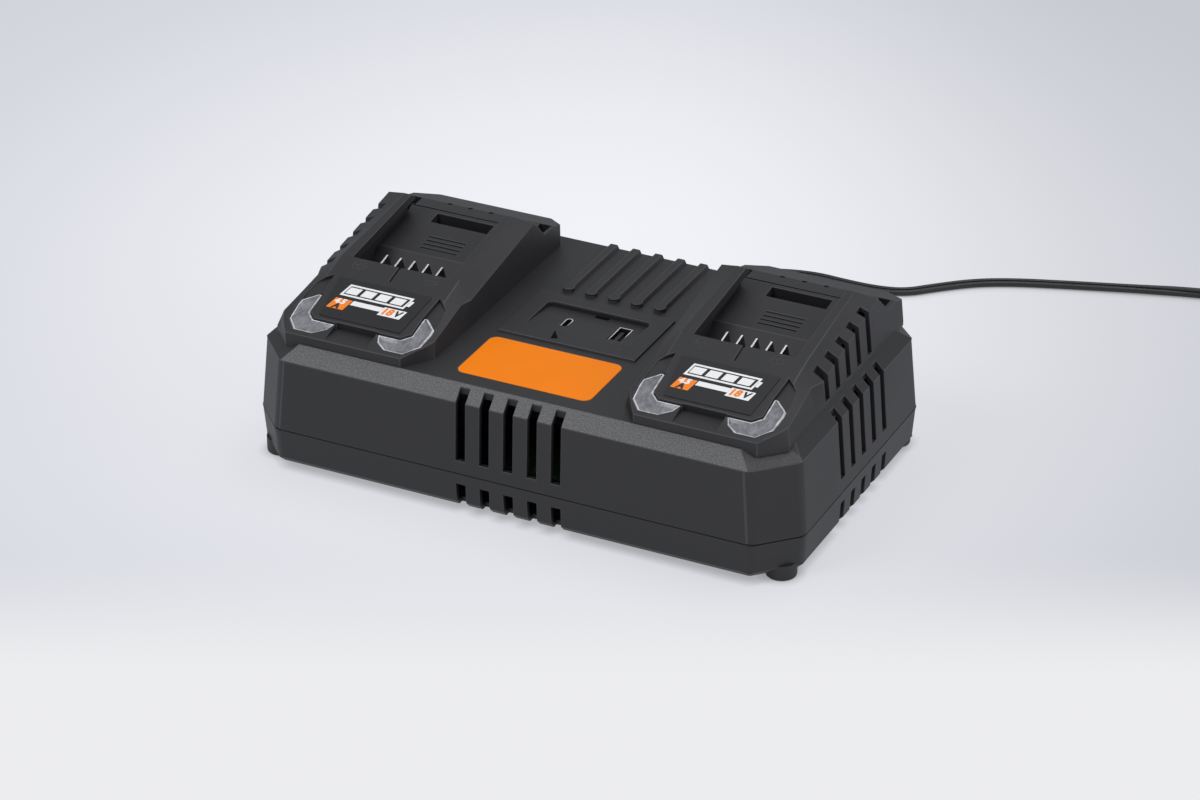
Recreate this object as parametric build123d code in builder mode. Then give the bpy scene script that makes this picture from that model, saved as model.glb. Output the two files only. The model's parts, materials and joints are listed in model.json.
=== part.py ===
from build123d import *
from math import atan2, cos, degrees, hypot, pi, radians, sin, tan
import os

os.makedirs("parts", exist_ok=True)

# Mains charger with two slide-on battery docks and two USB sockets.
# Millimetres, +Z up. The origin is on the surface the feet stand on, under the
# middle of the housing. The front faces -Y.

# ---------------------------------------------------------------- dimensions

# Housing walls and fits
wall = 2.5                    # plastic thickness of both housing halves
past = 1.0                    # cuts reach this far past a face, and joined solids into each other
fit_gap = 0.15                # clearance round a piece that sits in a recess
seam_break = 0.4              # broken edge that shows as the parting line
lip_thickness = 1.4           # locating lip of the lower half
lip_height = 2.5              # how far the lip reaches into the upper half

# Heights of the housing
foot_height = 3.5
base_height = 17.5            # lower half
wall_height = 34.8            # upright wall of the upper half
top_bevel = 6.6               # bevel between wall and top, as wide as it is high
base_taper = 0.9              # lower half narrows this much towards its underside
base_edge = 2.8               # bevel round the underside
side_lean = 2.9               # side walls lean in this much
front_lean = 1.45             # front and rear walls lean in this much
corner_cut_x = 17.2           # facet across each upright corner
corner_cut_y = 17.75

# Place of the docks on the housing
dock_pitch = 170.0
front_setback = 8.5           # dock nose behind the front at the parting plane
rear_setback = 8.3
side_setback = 8.7            # dock flank inside the side at the parting plane

# Dock, along its length from the nose
hood_length = 53.0            # terminal hood
rail_length = 60.0            # rails that the battery slides on
floor_overhang = 6.0          # bay floor behind the rails
channel_length = 12.5         # sloped shelf behind the bay floor
tail_length = 15.0            # low block behind the shelf
nose_bevel_inner = 13.5       # length of the nose's corner facets
nose_bevel_outer = 11.0
waist_end = 45.3              # flanks stand further out behind the waist
shoulder = 49.8
tail_bevel = 8.2

# Dock, across; the outer side is the one next to the housing's side wall
nose_inner = 28.2
nose_outer = 30.0
dock_inner = 38.2             # centre plane to the inner flank's foot
dock_outer = 40.5             # centre plane to the outer flank's foot
tail_half = 29.4
flank_rise = 25.2             # height over which the flanks lean in
inner_lean = 0.4
outer_lean = 2.7
waist_inner_lean = 4.0        # beside the hood the flanks lean in more
waist_outer_lean = 8.0

# Dock roof, heights above the top of the housing
nose_height = 4.3
hood_rise = 14.5              # rear edge of the hood above its nose
rail_rise = 7.0               # rear end of the rails above the hood
ridge_front = 4.6             # outer edge of the roof at the nose
ridge_rise = 18.6             # outer edge at the rails' rear end, above that at the nose
ridge_half = 38.0
roof_flat_hood = 30.0         # half width of the roof's level middle
roof_flat_rail = 28.0
ledge_height = 12.7           # side wall behind the rails
tail_height = 8.2             # rear edge of the tail

# Battery bay
bay_half = 24.4               # between the rails' lips
groove_half = 28.5            # out to the bottom of the rail grooves
lip_depth = 4.3               # thickness of the rails' lips
pocket_height = 3.2           # floor of the pockets above the housing's top
pocket_length = 20.5
ramp_length = 10.0
floor_height = 10.4           # front edge of the bay floor
floor_rise = 4.65             # rise of the bay floor to its rear edge
channel_half = 36.5
channel_line_width = 1.2      # thin groove behind the bay floor
channel_line_depth = 1.4
rail_step = 31.0              # rails end square inside this, sloped outside
rail_end_flat = 1.0           # the slope starts this far before the rails' square end
latch_half = 14.7
latch_length = 7.5
latch_from_rails = 4.0        # front of the latch slot before the rails' rear end
latch_depth = 8.0
grip_count = 4                # fine grooves across the bay floor
grip_pitch = 3.1
grip_width = 0.9
grip_depth = 0.8
grip_half = 9.5
grip_from_floor = 5.2         # first groove behind the floor's front edge
tail_pocket_count = 4
tail_pocket_pitch = 10.8
tail_pocket = 2.4
tail_pocket_length = 1.4
tail_pocket_depth = 1.2

# Hood details
ledge_half = 10.4             # low ledge between the two light guides
ledge_length = 12.5
ledge_rise = 4.45
guide_drop = 0.8              # light guide below the hood's slope
guide_edge = 0.5              # broken top edge of the light guides
guide_bottom = 0.7            # underside of the light guides above the housing's top
pan_rim = 1.5                 # shelf and wall that carry a light guide
recess_depth = 1.6            # recess behind each light guide
# plan outlines: X from the dock's centre plane, Y from its nose
guide_points = [
    (10.5, 12.0), (12.8, 7.0), (18.1, 3.2), (27.5, 3.2), (33.2, 9.5), (34.0, 18.5), (33.8, 22.0),
    (27.8, 27.5), (25.8, 27.5), (25.8, 15.5), (22.0, 12.0)]
recess_points = [(25.8, 27.4), (27.8, 27.4), (33.8, 21.9), (33.6, 28.5), (32.6, 35.0), (27.0, 40.1)]
key_length = 9.0              # groove in the hood above the middle blade
key_width = 1.2
key_depth = 1.0
mark_radius = 3.2             # polarity marks
mark_line = 0.5
mark_depth = 0.25
mark_spacing = 36.6
mark_from_edge = 4.4          # centre of a mark before the hood's rear edge
label_half_front = 20.5
label_half_rear = 23.5
label_front = 14.8            # label's front edge behind the nose
label_length = 26.0
label_thickness = 0.4

# Terminals
blade_count = 5
blade_pitch = 7.05
blade_thickness = 0.9
blade_reach = 16.3            # blades stand out of the hood's rear wall
blade_bottom = 6.4            # heights above the housing's top
blade_top = 12.8              # at the face of the terminal block
blade_rise = 3.0              # rise of the blades' top edge
blade_nose = 2.6              # slant of the blades' rear edge
blade_nose_drop = 6.3
block_half = 17.4
block_depth = 6.0             # block inside the hood
block_face = 0.4              # block's face behind the hood's rear wall
block_low = 4.2
block_high = 13.6
flange_rim = 1.8
flange_thickness = 2.0

# Vents
vent_count = 5
vent_width = 4.6
front_vent_pitch = 11.69
side_vent_pitch = 11.8
vent_bottom = 6.5             # above the parting plane
front_vent_strip = 1.4        # bevel left above the front vents
side_vent_strip = 2.4
side_vent_center = 2.9        # middle of the side vents behind the housing's middle
base_vent_top = 5.5           # below the parting plane
dock_vent_half = 33.7         # upper vents reach in to this from the dock's centre
dock_vent_bottom = 1.5

# Middle of the top
rib_count = 5
rib_pitch = 11.49
rib_length = 50.5
rib_foot = 5.6
rib_crest = 3.6
rib_height = 2.0
rib_from_rear = 8.3
platform_width = 68.0
platform_length = 42.5
platform_height = 1.0
platform_from_front = 58.0
usb_recess_width = 51.0
usb_recess_length = 26.0
usb_recess_depth = 2.5
usb_recess_from_front = 67.2
usb_recess_corner = 3.0
badge_width = 65.3
badge_length = 36.3
badge_corner = 4.0
badge_thickness = 0.6
badge_x = -1.2
badge_from_front = 34.8       # centre of the badge

# USB sockets, upright in the recess
usb_from_front = 79.2
usb_c_x = -10.1
usb_a_x = 16.5
usb_c_size = (9.1, 3.44)      # along Y, along X
usb_a_size = (14.0, 6.4)
usb_shell = 0.4
usb_depth = 14.0
usb_sink = 0.5                # mouths below the recess floor
usb_base = 3.0
usb_a_tongue_size = (11.4, 1.9)
usb_a_tongue_shift = -1.2
usb_c_tongue_size = (6.8, 0.8)
usb_tongue_sink = 1.5
usb_contact = (1.1, 0.25)     # width and thickness
usb_contact_pitch = 2.3
usb_contact_count = 4
usb_board_size = (56.0, 38.0, 1.6)

# Screws
boss_radius = 4.5
screw_radius = 1.5
screw_bore = 1.6
screw_head_radius = 3.1
screw_head_height = 2.2
screw_length = 24.0
screw_sink = 4.0              # screw heads above the underside
front_screw_from_nose = 7.2
rear_screw_from_side = 32.2
rear_screw_from_tail = 11.3
post_radius = 3.3
board_screw_radius = 1.2
board_screw_head = 2.6
board_screw_head_height = 1.6

# Feet
foot_radius = 7.0
foot_inset_x = 10.2
foot_inset_y = 17.1
foot_edge = 0.6
foot_rise = 4.0               # the feet stand out of the corners up to this far above the underside

# Main board
board_side_gap = 39.2         # board's ends inside the housing's sides
board_depth = 106.0
board_thickness = 1.6
board_height = 4.0            # posts that carry the board
board_y = 2.0
board_screw_inset = 7.0

# Parts on the main board
core_width = 34.0
core_depth = 20.0
core_headroom = 2.45          # air between the transformer and the USB board
core_window = (26.0, 17.0)
core_leg = 5.0
core_place = (-18.0, 2.0)
winding_depth = 29.0
winding_gap = 0.3
bulk_radius = 9.0
bulk_height = 27.0
bulk_pitch = 21.0
output_radius = 5.0
output_height = 21.0
output_pitch = 12.5
sink_size = (46.0, 4.0, 26.0)
sink_x = (-40.0, 38.0)
sink_y = 36.0
fin_depth = 9.0
fin_thickness = 1.6
fin_pitch = 7.4
fin_count = 6
output_place = (30.0, -18.0)
output_count = 3
can_edge = 0.6
# mains side: X from the board's left end
bulk_from_end = (43.0, -14.0)
choke_from_end = (19.0, 14.0)
fuse_from_end = (17.0, 36.0)
bridge_from_end = (15.0, -8.0)
transistor_size = (10.2, 4.6, 15.5)
transistor_pitch = 16.0
choke_radius = 10.0
choke_bore = 4.5
choke_thickness = 11.0
choke_edge = 1.5
fuse_size = (22.0, 6.0, 7.0)
bridge_size = (22.0, 4.5, 17.0)

# Dock boards
dock_board_size = (64.0, 20.0, 1.6)
dock_board_from_nose = 22.5
dock_board_drop = 1.5         # board below the light guides' pans
led_size = (3.4, 3.4, 1.1)
led_x = 30.0
led_from_nose = 18.5
led_window = 1.2              # light window wider than the LED
dock_post_x = 16.0
dock_post_from_nose = 26.0
dock_post_radius = 2.5

# Fan
fan_size = 40.0
fan_thickness = 11.0
fan_from_side = 22.2          # middle of the fan inside the side at the parting plane
fan_bore = 19.0
fan_blade_tip = 18.3
fan_hub_radius = 8.5
fan_hub_length = 6.5
fan_plate = 2.0
fan_strut = 3.0
fan_blade_count = 7
fan_blade_thickness = 1.3
fan_blade_turn = 35.0
fan_blade_chord = 6.0
fan_shaft_radius = 1.0
fan_shaft_gap = 0.05
fan_run_gap = 0.5
fan_cradle = 3.0              # ribs that hold the fan's foot
fan_cradle_height = 7.0

# Internal leads
lead_radius = 1.3
lead_straight = 8.0           # straight stretch at each end
lead_offset = 10.0
# where the leads land on the board: the mains lead from its left end, the dock leads
# inwards of the dock's centre, the fan lead from its right end
mains_lead_from_end = (21.0, 47.0)
dock_lead_from_dock = (5.0, -34.0)
board_lead_from_dock = (3.0, -46.0)
usb_lead_end = (8.0, -36.0)
fan_lead_from_end = (9.0, 24.0)

# Mains cord
cord_diameter = 5.0
cord_exit_x = -38.0
bend_share = 0.45             # part of the shorter run that a bend's tangent may take
relief_width = 10.0
relief_neck = 8.0
relief_flange = 2.0
boot_length = 22.0
boot_radius_wall = 4.6
boot_radius_tip = 3.4
coil_radius = 28.0            # middle of the turns
coil_turns_across = 4
coil_layers = 2
coil_edge = 2.25
coil_center = (274.7, 238.2)
# route after the boot: X, Y and the height of the cord's underside
cord_floor_route = [
    (-38.0, 126.0, 14.35), (-33.5, 149.0, 4.8), (-23.0, 168.0, 0.4), (3.0, 184.0, 0.0),
    (33.0, 189.5, 0.0), (57.0, 191.0, 0.0), (75.0, 195.5, 0.0), (89.0, 207.5, 0.0),
    (109.0, 225.5, 0.0), (140.0, 241.5, 0.0), (175.0, 253.0, 0.0), (203.0, 261.5, 0.0),
    (236.0, 268.0, 0.0), (263.0, 273.7, 0.0)]
tail_floor_route = [(310.2, 224.0, 0.0), (312.5, 207.0, 1.7)]
plug_place = (316.0, 161.0)   # rear face of the plug's body
plug_straight = 16.0
plug_length = 38.0
plug_width = 35.3
plug_height = 13.7
plug_neck = 12.0
plug_corner = 6.2
pin_radius = 2.0
pin_length = 19.0
pin_spacing = 18.6

# ---------------------------------------------------------------- places

dock_length = hood_length + rail_length + floor_overhang + channel_length + tail_length
body_width = dock_pitch + 2 * (dock_outer + side_setback)
body_depth = front_setback + dock_length + rear_setback
half_x = body_width / 2
half_y = body_depth / 2
body_front = -half_y

base_z = foot_height
floor_z = base_z + wall
seam_z = base_z + base_height
bend_z = seam_z + wall_height
top_z = bend_z + top_bevel
roof_z = top_z - wall

dock_x = dock_pitch / 2
nose_y = body_front + front_setback
hood_y = nose_y + hood_length
rail_y = hood_y + rail_length
floor_y = rail_y + floor_overhang
channel_y = floor_y + channel_length
tail_y = nose_y + dock_length
pocket_y = hood_y + pocket_length
ramp_y = pocket_y + ramp_length
fan_x = half_x - fan_from_side
rear_screw_x = half_x - rear_screw_from_side
board_right = half_x - board_side_gap
board_left = -board_right
board_width = board_right - board_left

pocket_z = top_z + pocket_height
hood_slope = hood_rise / hood_length
hood_angle = degrees(atan2(hood_rise, hood_length))
floor_slope = floor_rise / (floor_y - ramp_y)
floor_angle = degrees(atan2(floor_slope, 1))
sky_z = top_z + nose_height + hood_rise + rail_rise + wall    # above the whole part


def roof_middle(y):
    """Height of the dock's roof along its middle."""
    hood_top = top_z + nose_height + hood_rise
    if y < hood_y:
        return hood_top - (hood_y - y) * hood_slope
    return hood_top + (y - hood_y) * rail_rise / rail_length


def roof_ridge(y):
    """Height of the dock's roof along its outer edges."""
    return top_z + ridge_front + (y - nose_y) * ridge_rise / (hood_length + rail_length)


def roof_flat(y):
    """Half width of the level middle of the dock's roof."""
    share = max(0.0, y - hood_y) / rail_length
    return roof_flat_hood + (roof_flat_rail - roof_flat_hood) * share


def moved_in(points, distance):
    """An anticlockwise outline with every edge moved inwards by distance."""
    result = []
    for i, (x, y) in enumerate(points):
        x0, y0 = points[i - 1]
        x1, y1 = points[(i + 1) % len(points)]
        before = Vector(-(y - y0), x - x0).normalized()
        after = Vector(-(y1 - y), x1 - x).normalized()
        step = (before + after) * (distance / (1 + before.dot(after)))
        result.append((x + step.X, y + step.Y))
    return result


def octagon(x, y, inset=0.0):
    """The housing's outline with a facet across each corner."""
    corner_x, corner_y = x - corner_cut_x, y - corner_cut_y
    outline = [(-corner_x, -y), (corner_x, -y), (x, -corner_y), (x, corner_y),
               (corner_x, y), (-corner_x, y), (-x, corner_y), (-x, -corner_y)]
    return moved_in(outline, inset)


def stacked(levels):
    """Solid with flat facets between outlines at rising heights."""
    with BuildPart() as solid:
        for height, outline in levels:
            with BuildSketch(Plane.XY.offset(height)):
                Polygon(*outline, align=None)
        loft(ruled=True)
    return solid.part


def upright(outline, low, high):
    """Prism on a plan outline."""
    with BuildPart() as solid:
        with BuildSketch(Plane.XY.offset(low)):
            Polygon(*outline, align=None)
        extrude(amount=high - low)
    return solid.part


def across(profile, half_width):
    """Prism on a side view outline of (y, z) points, centred on X = 0."""
    with BuildPart() as solid:
        with BuildSketch(Plane.YZ):
            Polygon(*profile, align=None)
        extrude(amount=half_width, both=True)
    return solid.part


def block(x_range, y_range, z_range):
    """Box between two limits on each axis."""
    with BuildPart() as solid:
        middle = [(a + b) / 2 for a, b in (x_range, y_range, z_range)]
        size = [b - a for a, b in (x_range, y_range, z_range)]
        with Locations(tuple(middle)):
            Box(*size)
    return solid.part


def save(part, name):
    """Label a finished piece and write its file."""
    part.label = name
    export_step(part, f"parts/{name}.step")


def tube(points, radius):
    """Round bar along straight runs joined by tangent arcs, as large as the runs allow."""
    path = [Vector(*p) for p in points]
    runs = [(b - a).length for a, b in zip(path, path[1:])]
    bends = []
    for i in range(1, len(path) - 1):
        turn = radians((path[i] - path[i - 1]).get_angle(path[i + 1] - path[i]))
        bends.append(bend_share * min(runs[i - 1], runs[i]) / tan(turn / 2))
    with BuildPart() as solid:
        with BuildLine() as line:
            FilletPolyline(*path, radius=bends)
        with BuildSketch(Plane(origin=path[0], z_dir=path[1] - path[0])):
            Circle(radius)
        sweep(path=line.line)
    length = sum(edge.length for edge in line.edges())
    return solid.part, length, bends


# ---------------------------------------------------------------- dock shapes
# A dock is drawn with its centre plane at X = 0 and its outer side towards +X.

dock_foot = [
    (-nose_inner, nose_y), (nose_outer, nose_y), (dock_outer, nose_y + nose_bevel_outer),
    (dock_outer, nose_y + waist_end), (dock_outer, nose_y + shoulder),
    (dock_outer, tail_y - tail_bevel), (tail_half, tail_y), (-tail_half, tail_y),
    (-dock_inner, tail_y - tail_bevel), (-dock_inner, nose_y + shoulder),
    (-dock_inner, nose_y + waist_end), (-dock_inner, nose_y + nose_bevel_inner)]
waist_leans = [0, 0, -waist_outer_lean, -waist_outer_lean, -outer_lean, -outer_lean,
               0, 0, inner_lean, inner_lean, waist_inner_lean, waist_inner_lean]
dock_crown = [(x + lean, y) for (x, y), lean in zip(dock_foot, waist_leans)]


def floor_at(y):
    """Height of the bay floor."""
    return top_z + floor_height + (y - ramp_y) * floor_slope


def dock_mass(inset):
    """The dock's outer shape, or with an inset the room inside its walls."""
    plan = stacked([(roof_z - inset, moved_in(dock_foot, inset)),
                    (top_z, moved_in(dock_foot, inset)),
                    (top_z + flank_rise, moved_in(dock_crown, inset))])
    side = dock_outer + side_setback
    with BuildPart() as roof:
        for y in (nose_y - wall, hood_y, tail_y + wall):
            ridge = roof_ridge(y) - inset
            middle = roof_middle(y) - inset
            flat = roof_flat(y)
            eaves = middle + (ridge - middle) * (side - flat) / (ridge_half - flat)
            with BuildSketch(Plane.XZ.offset(-y)):
                Polygon((-side, base_z), (side, base_z), (side, eaves), (flat, middle),
                        (-flat, middle), (-side, eaves), align=None)
        loft(ruled=True)
    ledge_z = top_z + ledge_height
    tail_z = top_z + tail_height
    tail_slope = (ledge_z - tail_z) / (tail_y - channel_y)
    behind = [(channel_y, ledge_z), (tail_y + wall, tail_z - wall * tail_slope),
              (tail_y + wall, sky_z)]
    floor_end = [(rail_y, floor_at(rail_y)), (floor_y, floor_at(floor_y))]
    square_end = moved_in(floor_end + behind + [(rail_y, sky_z)], -inset)
    slope_y = rail_y - rail_end_flat
    drop = roof_ridge(slope_y) - ledge_z
    high = sky_z - ledge_z
    sloped_end = moved_in([(slope_y + drop, ledge_z)] + behind
                          + [(slope_y + drop - high, sky_z)], -inset)
    with BuildPart() as mass:
        add(plan)
        add(roof.part, mode=Mode.INTERSECT)
        add(across(square_end, rail_step + inset), mode=Mode.SUBTRACT)
        add(across(sloped_end, side), mode=Mode.SUBTRACT)
    return mass.part


def bay_space(grow):
    """Open space of the battery bay, or with grow that space and the wall round it."""
    low = [(hood_y, pocket_z), (pocket_y, pocket_z), (ramp_y, floor_at(ramp_y)),
           (floor_y, floor_at(floor_y))]
    open_top = low + [(channel_y, floor_at(floor_y)), (channel_y, sky_z), (hood_y, sky_z)]
    under_lips = low + [(floor_y, roof_middle(floor_y) - lip_depth),
                        (hood_y, roof_middle(hood_y) - lip_depth)]
    latch_y = rail_y - latch_from_rails
    with BuildPart() as space:
        add(across(moved_in(open_top, -grow), bay_half + grow))
        add(across(moved_in(under_lips, -grow), groove_half + grow))
        add(block((-rail_step - grow, rail_step + grow),
                  (floor_y - grow, floor_y + channel_line_width + grow),
                  (floor_at(floor_y) - channel_line_depth - grow, sky_z)))
        for near, far in ((-channel_half, -rail_step), (rail_step, channel_half)):
            add(block((near - grow, far + grow), (floor_y - grow, channel_y + grow),
                      (pocket_z - grow, sky_z)))
        add(block((-latch_half - grow, latch_half + grow),
                  (latch_y - grow, latch_y + latch_length + grow),
                  (floor_at(latch_y) - latch_depth - grow, sky_z)))
    return space.part


# Light guide on the dock's outer side, and the recess behind it
guide_outline = [(x, nose_y + y) for x, y in guide_points]
recess_outline = [(x, nose_y + y) for x, y in recess_points]
hood_normal = Vector(0, -sin(radians(hood_angle)), cos(radians(hood_angle)))
hood_plane = Plane(origin=(0, nose_y, top_z + nose_height), x_dir=(1, 0, 0), z_dir=hood_normal)
guide_z = top_z + guide_bottom


def both_sides(outline, low, high):
    """Two mirrored prisms, one on each side of the dock's centre plane."""
    with BuildPart() as pair:
        with BuildSketch(Plane.XY.offset(low)):
            Polygon(*outline, align=None)
            Polygon(*[(-x, y) for x, y in reversed(outline)], align=None)
        extrude(amount=high - low)
    return pair.part


guide_pans = both_sides(moved_in(guide_outline, -fit_gap - pan_rim), guide_z - pan_rim, sky_z)
ledge_z = top_z + ledge_rise
ledge_space = block((-ledge_half, ledge_half), (nose_y - wall, nose_y + ledge_length),
                    (ledge_z, sky_z))
ledge_wall = block((-ledge_half - wall, ledge_half + wall), (nose_y, nose_y + ledge_length + wall),
                   (ledge_z - wall, sky_z))
dock_posts_z = guide_z - pan_rim - dock_board_drop
dock_post_places = [(x, nose_y + dock_post_from_nose) for x in (-dock_post_x, dock_post_x)]

with BuildPart() as dock_room:
    add(dock_mass(wall))
    add(bay_space(wall), mode=Mode.SUBTRACT)
    add(guide_pans, mode=Mode.SUBTRACT)
    add(ledge_wall, mode=Mode.SUBTRACT)
    with BuildSketch(Plane.XY.offset(dock_posts_z)):
        with Locations(*dock_post_places):
            Circle(dock_post_radius)
    extrude(until=Until.LAST, mode=Mode.SUBTRACT)

mark_y = hood_y - mark_from_edge
mark_plane = Plane(origin=(0, mark_y, roof_middle(mark_y)), x_dir=(1, 0, 0), z_dir=hood_normal)
with BuildPart() as polarity_marks:
    with BuildSketch(mark_plane.offset(-mark_depth)):
        for side in (-1, 1):
            with Locations((side * mark_spacing / 2, 0)):
                Circle(mark_radius)
                Circle(mark_radius - mark_line, mode=Mode.SUBTRACT)
                Rectangle(mark_radius, mark_line)
        with Locations((mark_spacing / 2, 0)):
            Rectangle(mark_line, mark_radius)
    extrude(amount=mark_depth + wall)

grip_middle = ramp_y + grip_from_floor + grip_pitch * (grip_count - 1) / 2
floor_normal = Vector(0, -sin(radians(floor_angle)), cos(radians(floor_angle)))
grip_plane = Plane(origin=(0, grip_middle, floor_at(grip_middle)), x_dir=(1, 0, 0),
                   z_dir=floor_normal)
with BuildPart() as grip_grooves:
    with BuildSketch(grip_plane.offset(-grip_depth)):
        with GridLocations(1, grip_pitch, 1, grip_count):
            Rectangle(2 * grip_half, grip_width)
    extrude(amount=grip_depth + wall)

with BuildPart() as hood_cuts:
    add(both_sides(moved_in(guide_outline, -fit_gap), guide_z, sky_z))
    add(ledge_space)
    # light windows under the light guides
    with BuildSketch(Plane.XY.offset(guide_z - 2 * pan_rim)):
        for side in (-1, 1):
            with Locations((side * led_x, nose_y + led_from_nose)):
                Rectangle(led_size[0] + led_window, led_size[1] + led_window)
    extrude(amount=3 * pan_rim)
    # key groove above the middle blade
    with BuildSketch(hood_plane.offset(-key_depth)):
        with Locations((0, hypot(hood_length, hood_rise) - key_length / 2)):
            Rectangle(key_width, key_length + wall)
    extrude(amount=key_depth + wall)

recess_prism = both_sides(recess_outline, top_z, sky_z)
with BuildPart() as recess_slab:
    with BuildSketch(hood_plane.offset(-recess_depth)):
        with Locations((0, hood_length / 2)):
            Rectangle(2 * dock_outer, 2 * hood_length)
    extrude(amount=recess_depth + wall)
    add(recess_prism, mode=Mode.INTERSECT)

side_vent_places = [side_vent_center + side_vent_pitch * (i - (vent_count - 1) / 2)
                    for i in range(vent_count)]
with BuildPart() as dock_cuts:
    add(bay_space(0.0))
    add(hood_cuts.part)
    add(recess_slab.part)
    add(polarity_marks.part)
    add(grip_grooves.part)
    # window that the terminal block looks through
    add(block((-block_half - fit_gap, block_half + fit_gap), (hood_y - 2 * wall, hood_y + past),
              (top_z + block_low - fit_gap, top_z + block_high + fit_gap)))
    # vents over the outer ridge
    for y in side_vent_places:
        add(block((dock_vent_half, dock_outer + side_setback),
                  (y - vent_width / 2, y + vent_width / 2), (top_z + dock_vent_bottom, sky_z)))
    # small pockets where the tail starts
    for i in range(tail_pocket_count):
        x = tail_pocket_pitch * (i - (tail_pocket_count - 1) / 2)
        add(block((x - tail_pocket / 2, x + tail_pocket / 2),
                  (channel_y - past, channel_y + tail_pocket_length),
                  (top_z + ledge_height - tail_pocket_depth, sky_z)))

# ---------------------------------------------------------------- upper housing

bend_shift = wall * tan(radians(22.5))
top_x = half_x - side_lean - top_bevel
top_y = half_y - front_lean - top_bevel
body_shape = stacked([
    (seam_z, octagon(half_x, half_y, seam_break)),
    (seam_z + seam_break, octagon(half_x, half_y)),
    (bend_z, octagon(half_x - side_lean, half_y - front_lean)),
    (top_z, octagon(top_x, top_y))])
body_room = stacked([
    (seam_z - wall, octagon(half_x, half_y, wall)),
    (seam_z, octagon(half_x, half_y, wall)),
    (bend_z - bend_shift, octagon(half_x - side_lean, half_y - front_lean, wall)),
    (roof_z, octagon(top_x, top_y, bend_shift))])

screw_places = [(-dock_x, nose_y + front_screw_from_nose), (dock_x, nose_y + front_screw_from_nose),
                (-rear_screw_x, tail_y - rear_screw_from_tail),
                (rear_screw_x, tail_y - rear_screw_from_tail)]
usb_y = body_front + usb_from_front
usb_board_x = (usb_c_x + usb_a_x) / 2
usb_post_places = [(usb_board_x + sx * (usb_board_size[0] / 2 - post_radius),
                    usb_y + sy * (usb_board_size[1] / 2 - post_radius))
                   for sx in (-1, 1) for sy in (-1, 1)]
platform_z = top_z + platform_height
usb_recess_y = body_front + usb_recess_from_front
usb_recess_slope = usb_recess_depth / usb_recess_length
usb_mouth_z = platform_z - (usb_y - usb_recess_y) * usb_recess_slope - usb_sink
usb_board_top = usb_mouth_z - usb_depth

right_dock_room = Pos(dock_x, 0, 0) * dock_room.part
with BuildPart() as room:
    add(body_room)
    add(right_dock_room)
    mirror(right_dock_room, about=Plane.YZ)
    with BuildSketch(Plane.XY.offset(seam_z)):
        with Locations(*screw_places):
            Circle(boss_radius)
    extrude(until=Until.LAST, mode=Mode.SUBTRACT)
    with BuildSketch(Plane.XY.offset(usb_board_top)):
        with Locations(*usb_post_places):
            Circle(post_radius)
    extrude(until=Until.LAST, mode=Mode.SUBTRACT)

rib_front = half_y - rib_from_rear - rib_length
rib_places = [rib_pitch * (i - (rib_count - 1) / 2) for i in range(rib_count)]
with BuildPart() as ribs:
    with BuildSketch(Plane.XZ.offset(-rib_front - rib_foot / 2)):
        for x in rib_places:
            with Locations((x, top_z)):
                Polygon((-rib_foot / 2, -past), (rib_foot / 2, -past), (rib_foot / 2, 0),
                        (rib_crest / 2, rib_height), (-rib_crest / 2, rib_height),
                        (-rib_foot / 2, 0), align=None)
    extrude(amount=-(rib_length - rib_foot / 2))
    with BuildSketch(Plane.XY.offset(top_z - past)):
        with Locations(*[(x, rib_front + rib_foot / 2) for x in rib_places]):
            Circle(rib_foot / 2)
    extrude(amount=past + rib_height)

usb_recess_profile = [
    (usb_recess_y, platform_z), (usb_recess_y + usb_recess_length, platform_z - usb_recess_depth),
    (usb_recess_y + usb_recess_length, platform_z + wall), (usb_recess_y, platform_z + wall)]
with BuildPart() as usb_cuts:
    with BuildSketch(Plane.XY.offset(roof_z)):
        with Locations((0, usb_recess_y + usb_recess_length / 2)):
            RectangleRounded(usb_recess_width, usb_recess_length, usb_recess_corner)
    extrude(amount=platform_z + wall - roof_z)
    add(across(usb_recess_profile, usb_recess_width), mode=Mode.INTERSECT)
    with BuildSketch(Plane.XY.offset(roof_z - past)):
        with Locations((usb_a_x, usb_y)):
            Rectangle(usb_a_size[1] + 2 * fit_gap, usb_a_size[0] + 2 * fit_gap)
        with Locations((usb_c_x, usb_y)):
            SlotOverall(usb_c_size[0] + 2 * fit_gap, usb_c_size[1] + 2 * fit_gap, rotation=90)
    extrude(amount=platform_z + wall - roof_z)

badge_y = body_front + badge_from_front
with BuildPart() as badge_recess:
    with BuildSketch(Plane.XY.offset(top_z - badge_thickness)):
        with Locations((badge_x, badge_y)):
            RectangleRounded(badge_width + 2 * fit_gap, badge_length + 2 * fit_gap, badge_corner)
    extrude(amount=badge_thickness + wall)

with BuildPart() as body_vents:
    for i in range(vent_count):
        x = front_vent_pitch * (i - (vent_count - 1) / 2)
        add(block((x - vent_width / 2, x + vent_width / 2),
                  (body_front - past, -top_y - front_vent_strip),
                  (seam_z + vent_bottom, top_z - front_vent_strip)))
    for y in side_vent_places:
        for side in (-1, 1):
            ends = sorted((side * (top_x + side_vent_strip), side * (half_x + past)))
            add(block(ends, (y - vent_width / 2, y + vent_width / 2),
                      (seam_z + vent_bottom, top_z - side_vent_strip)))

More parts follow.
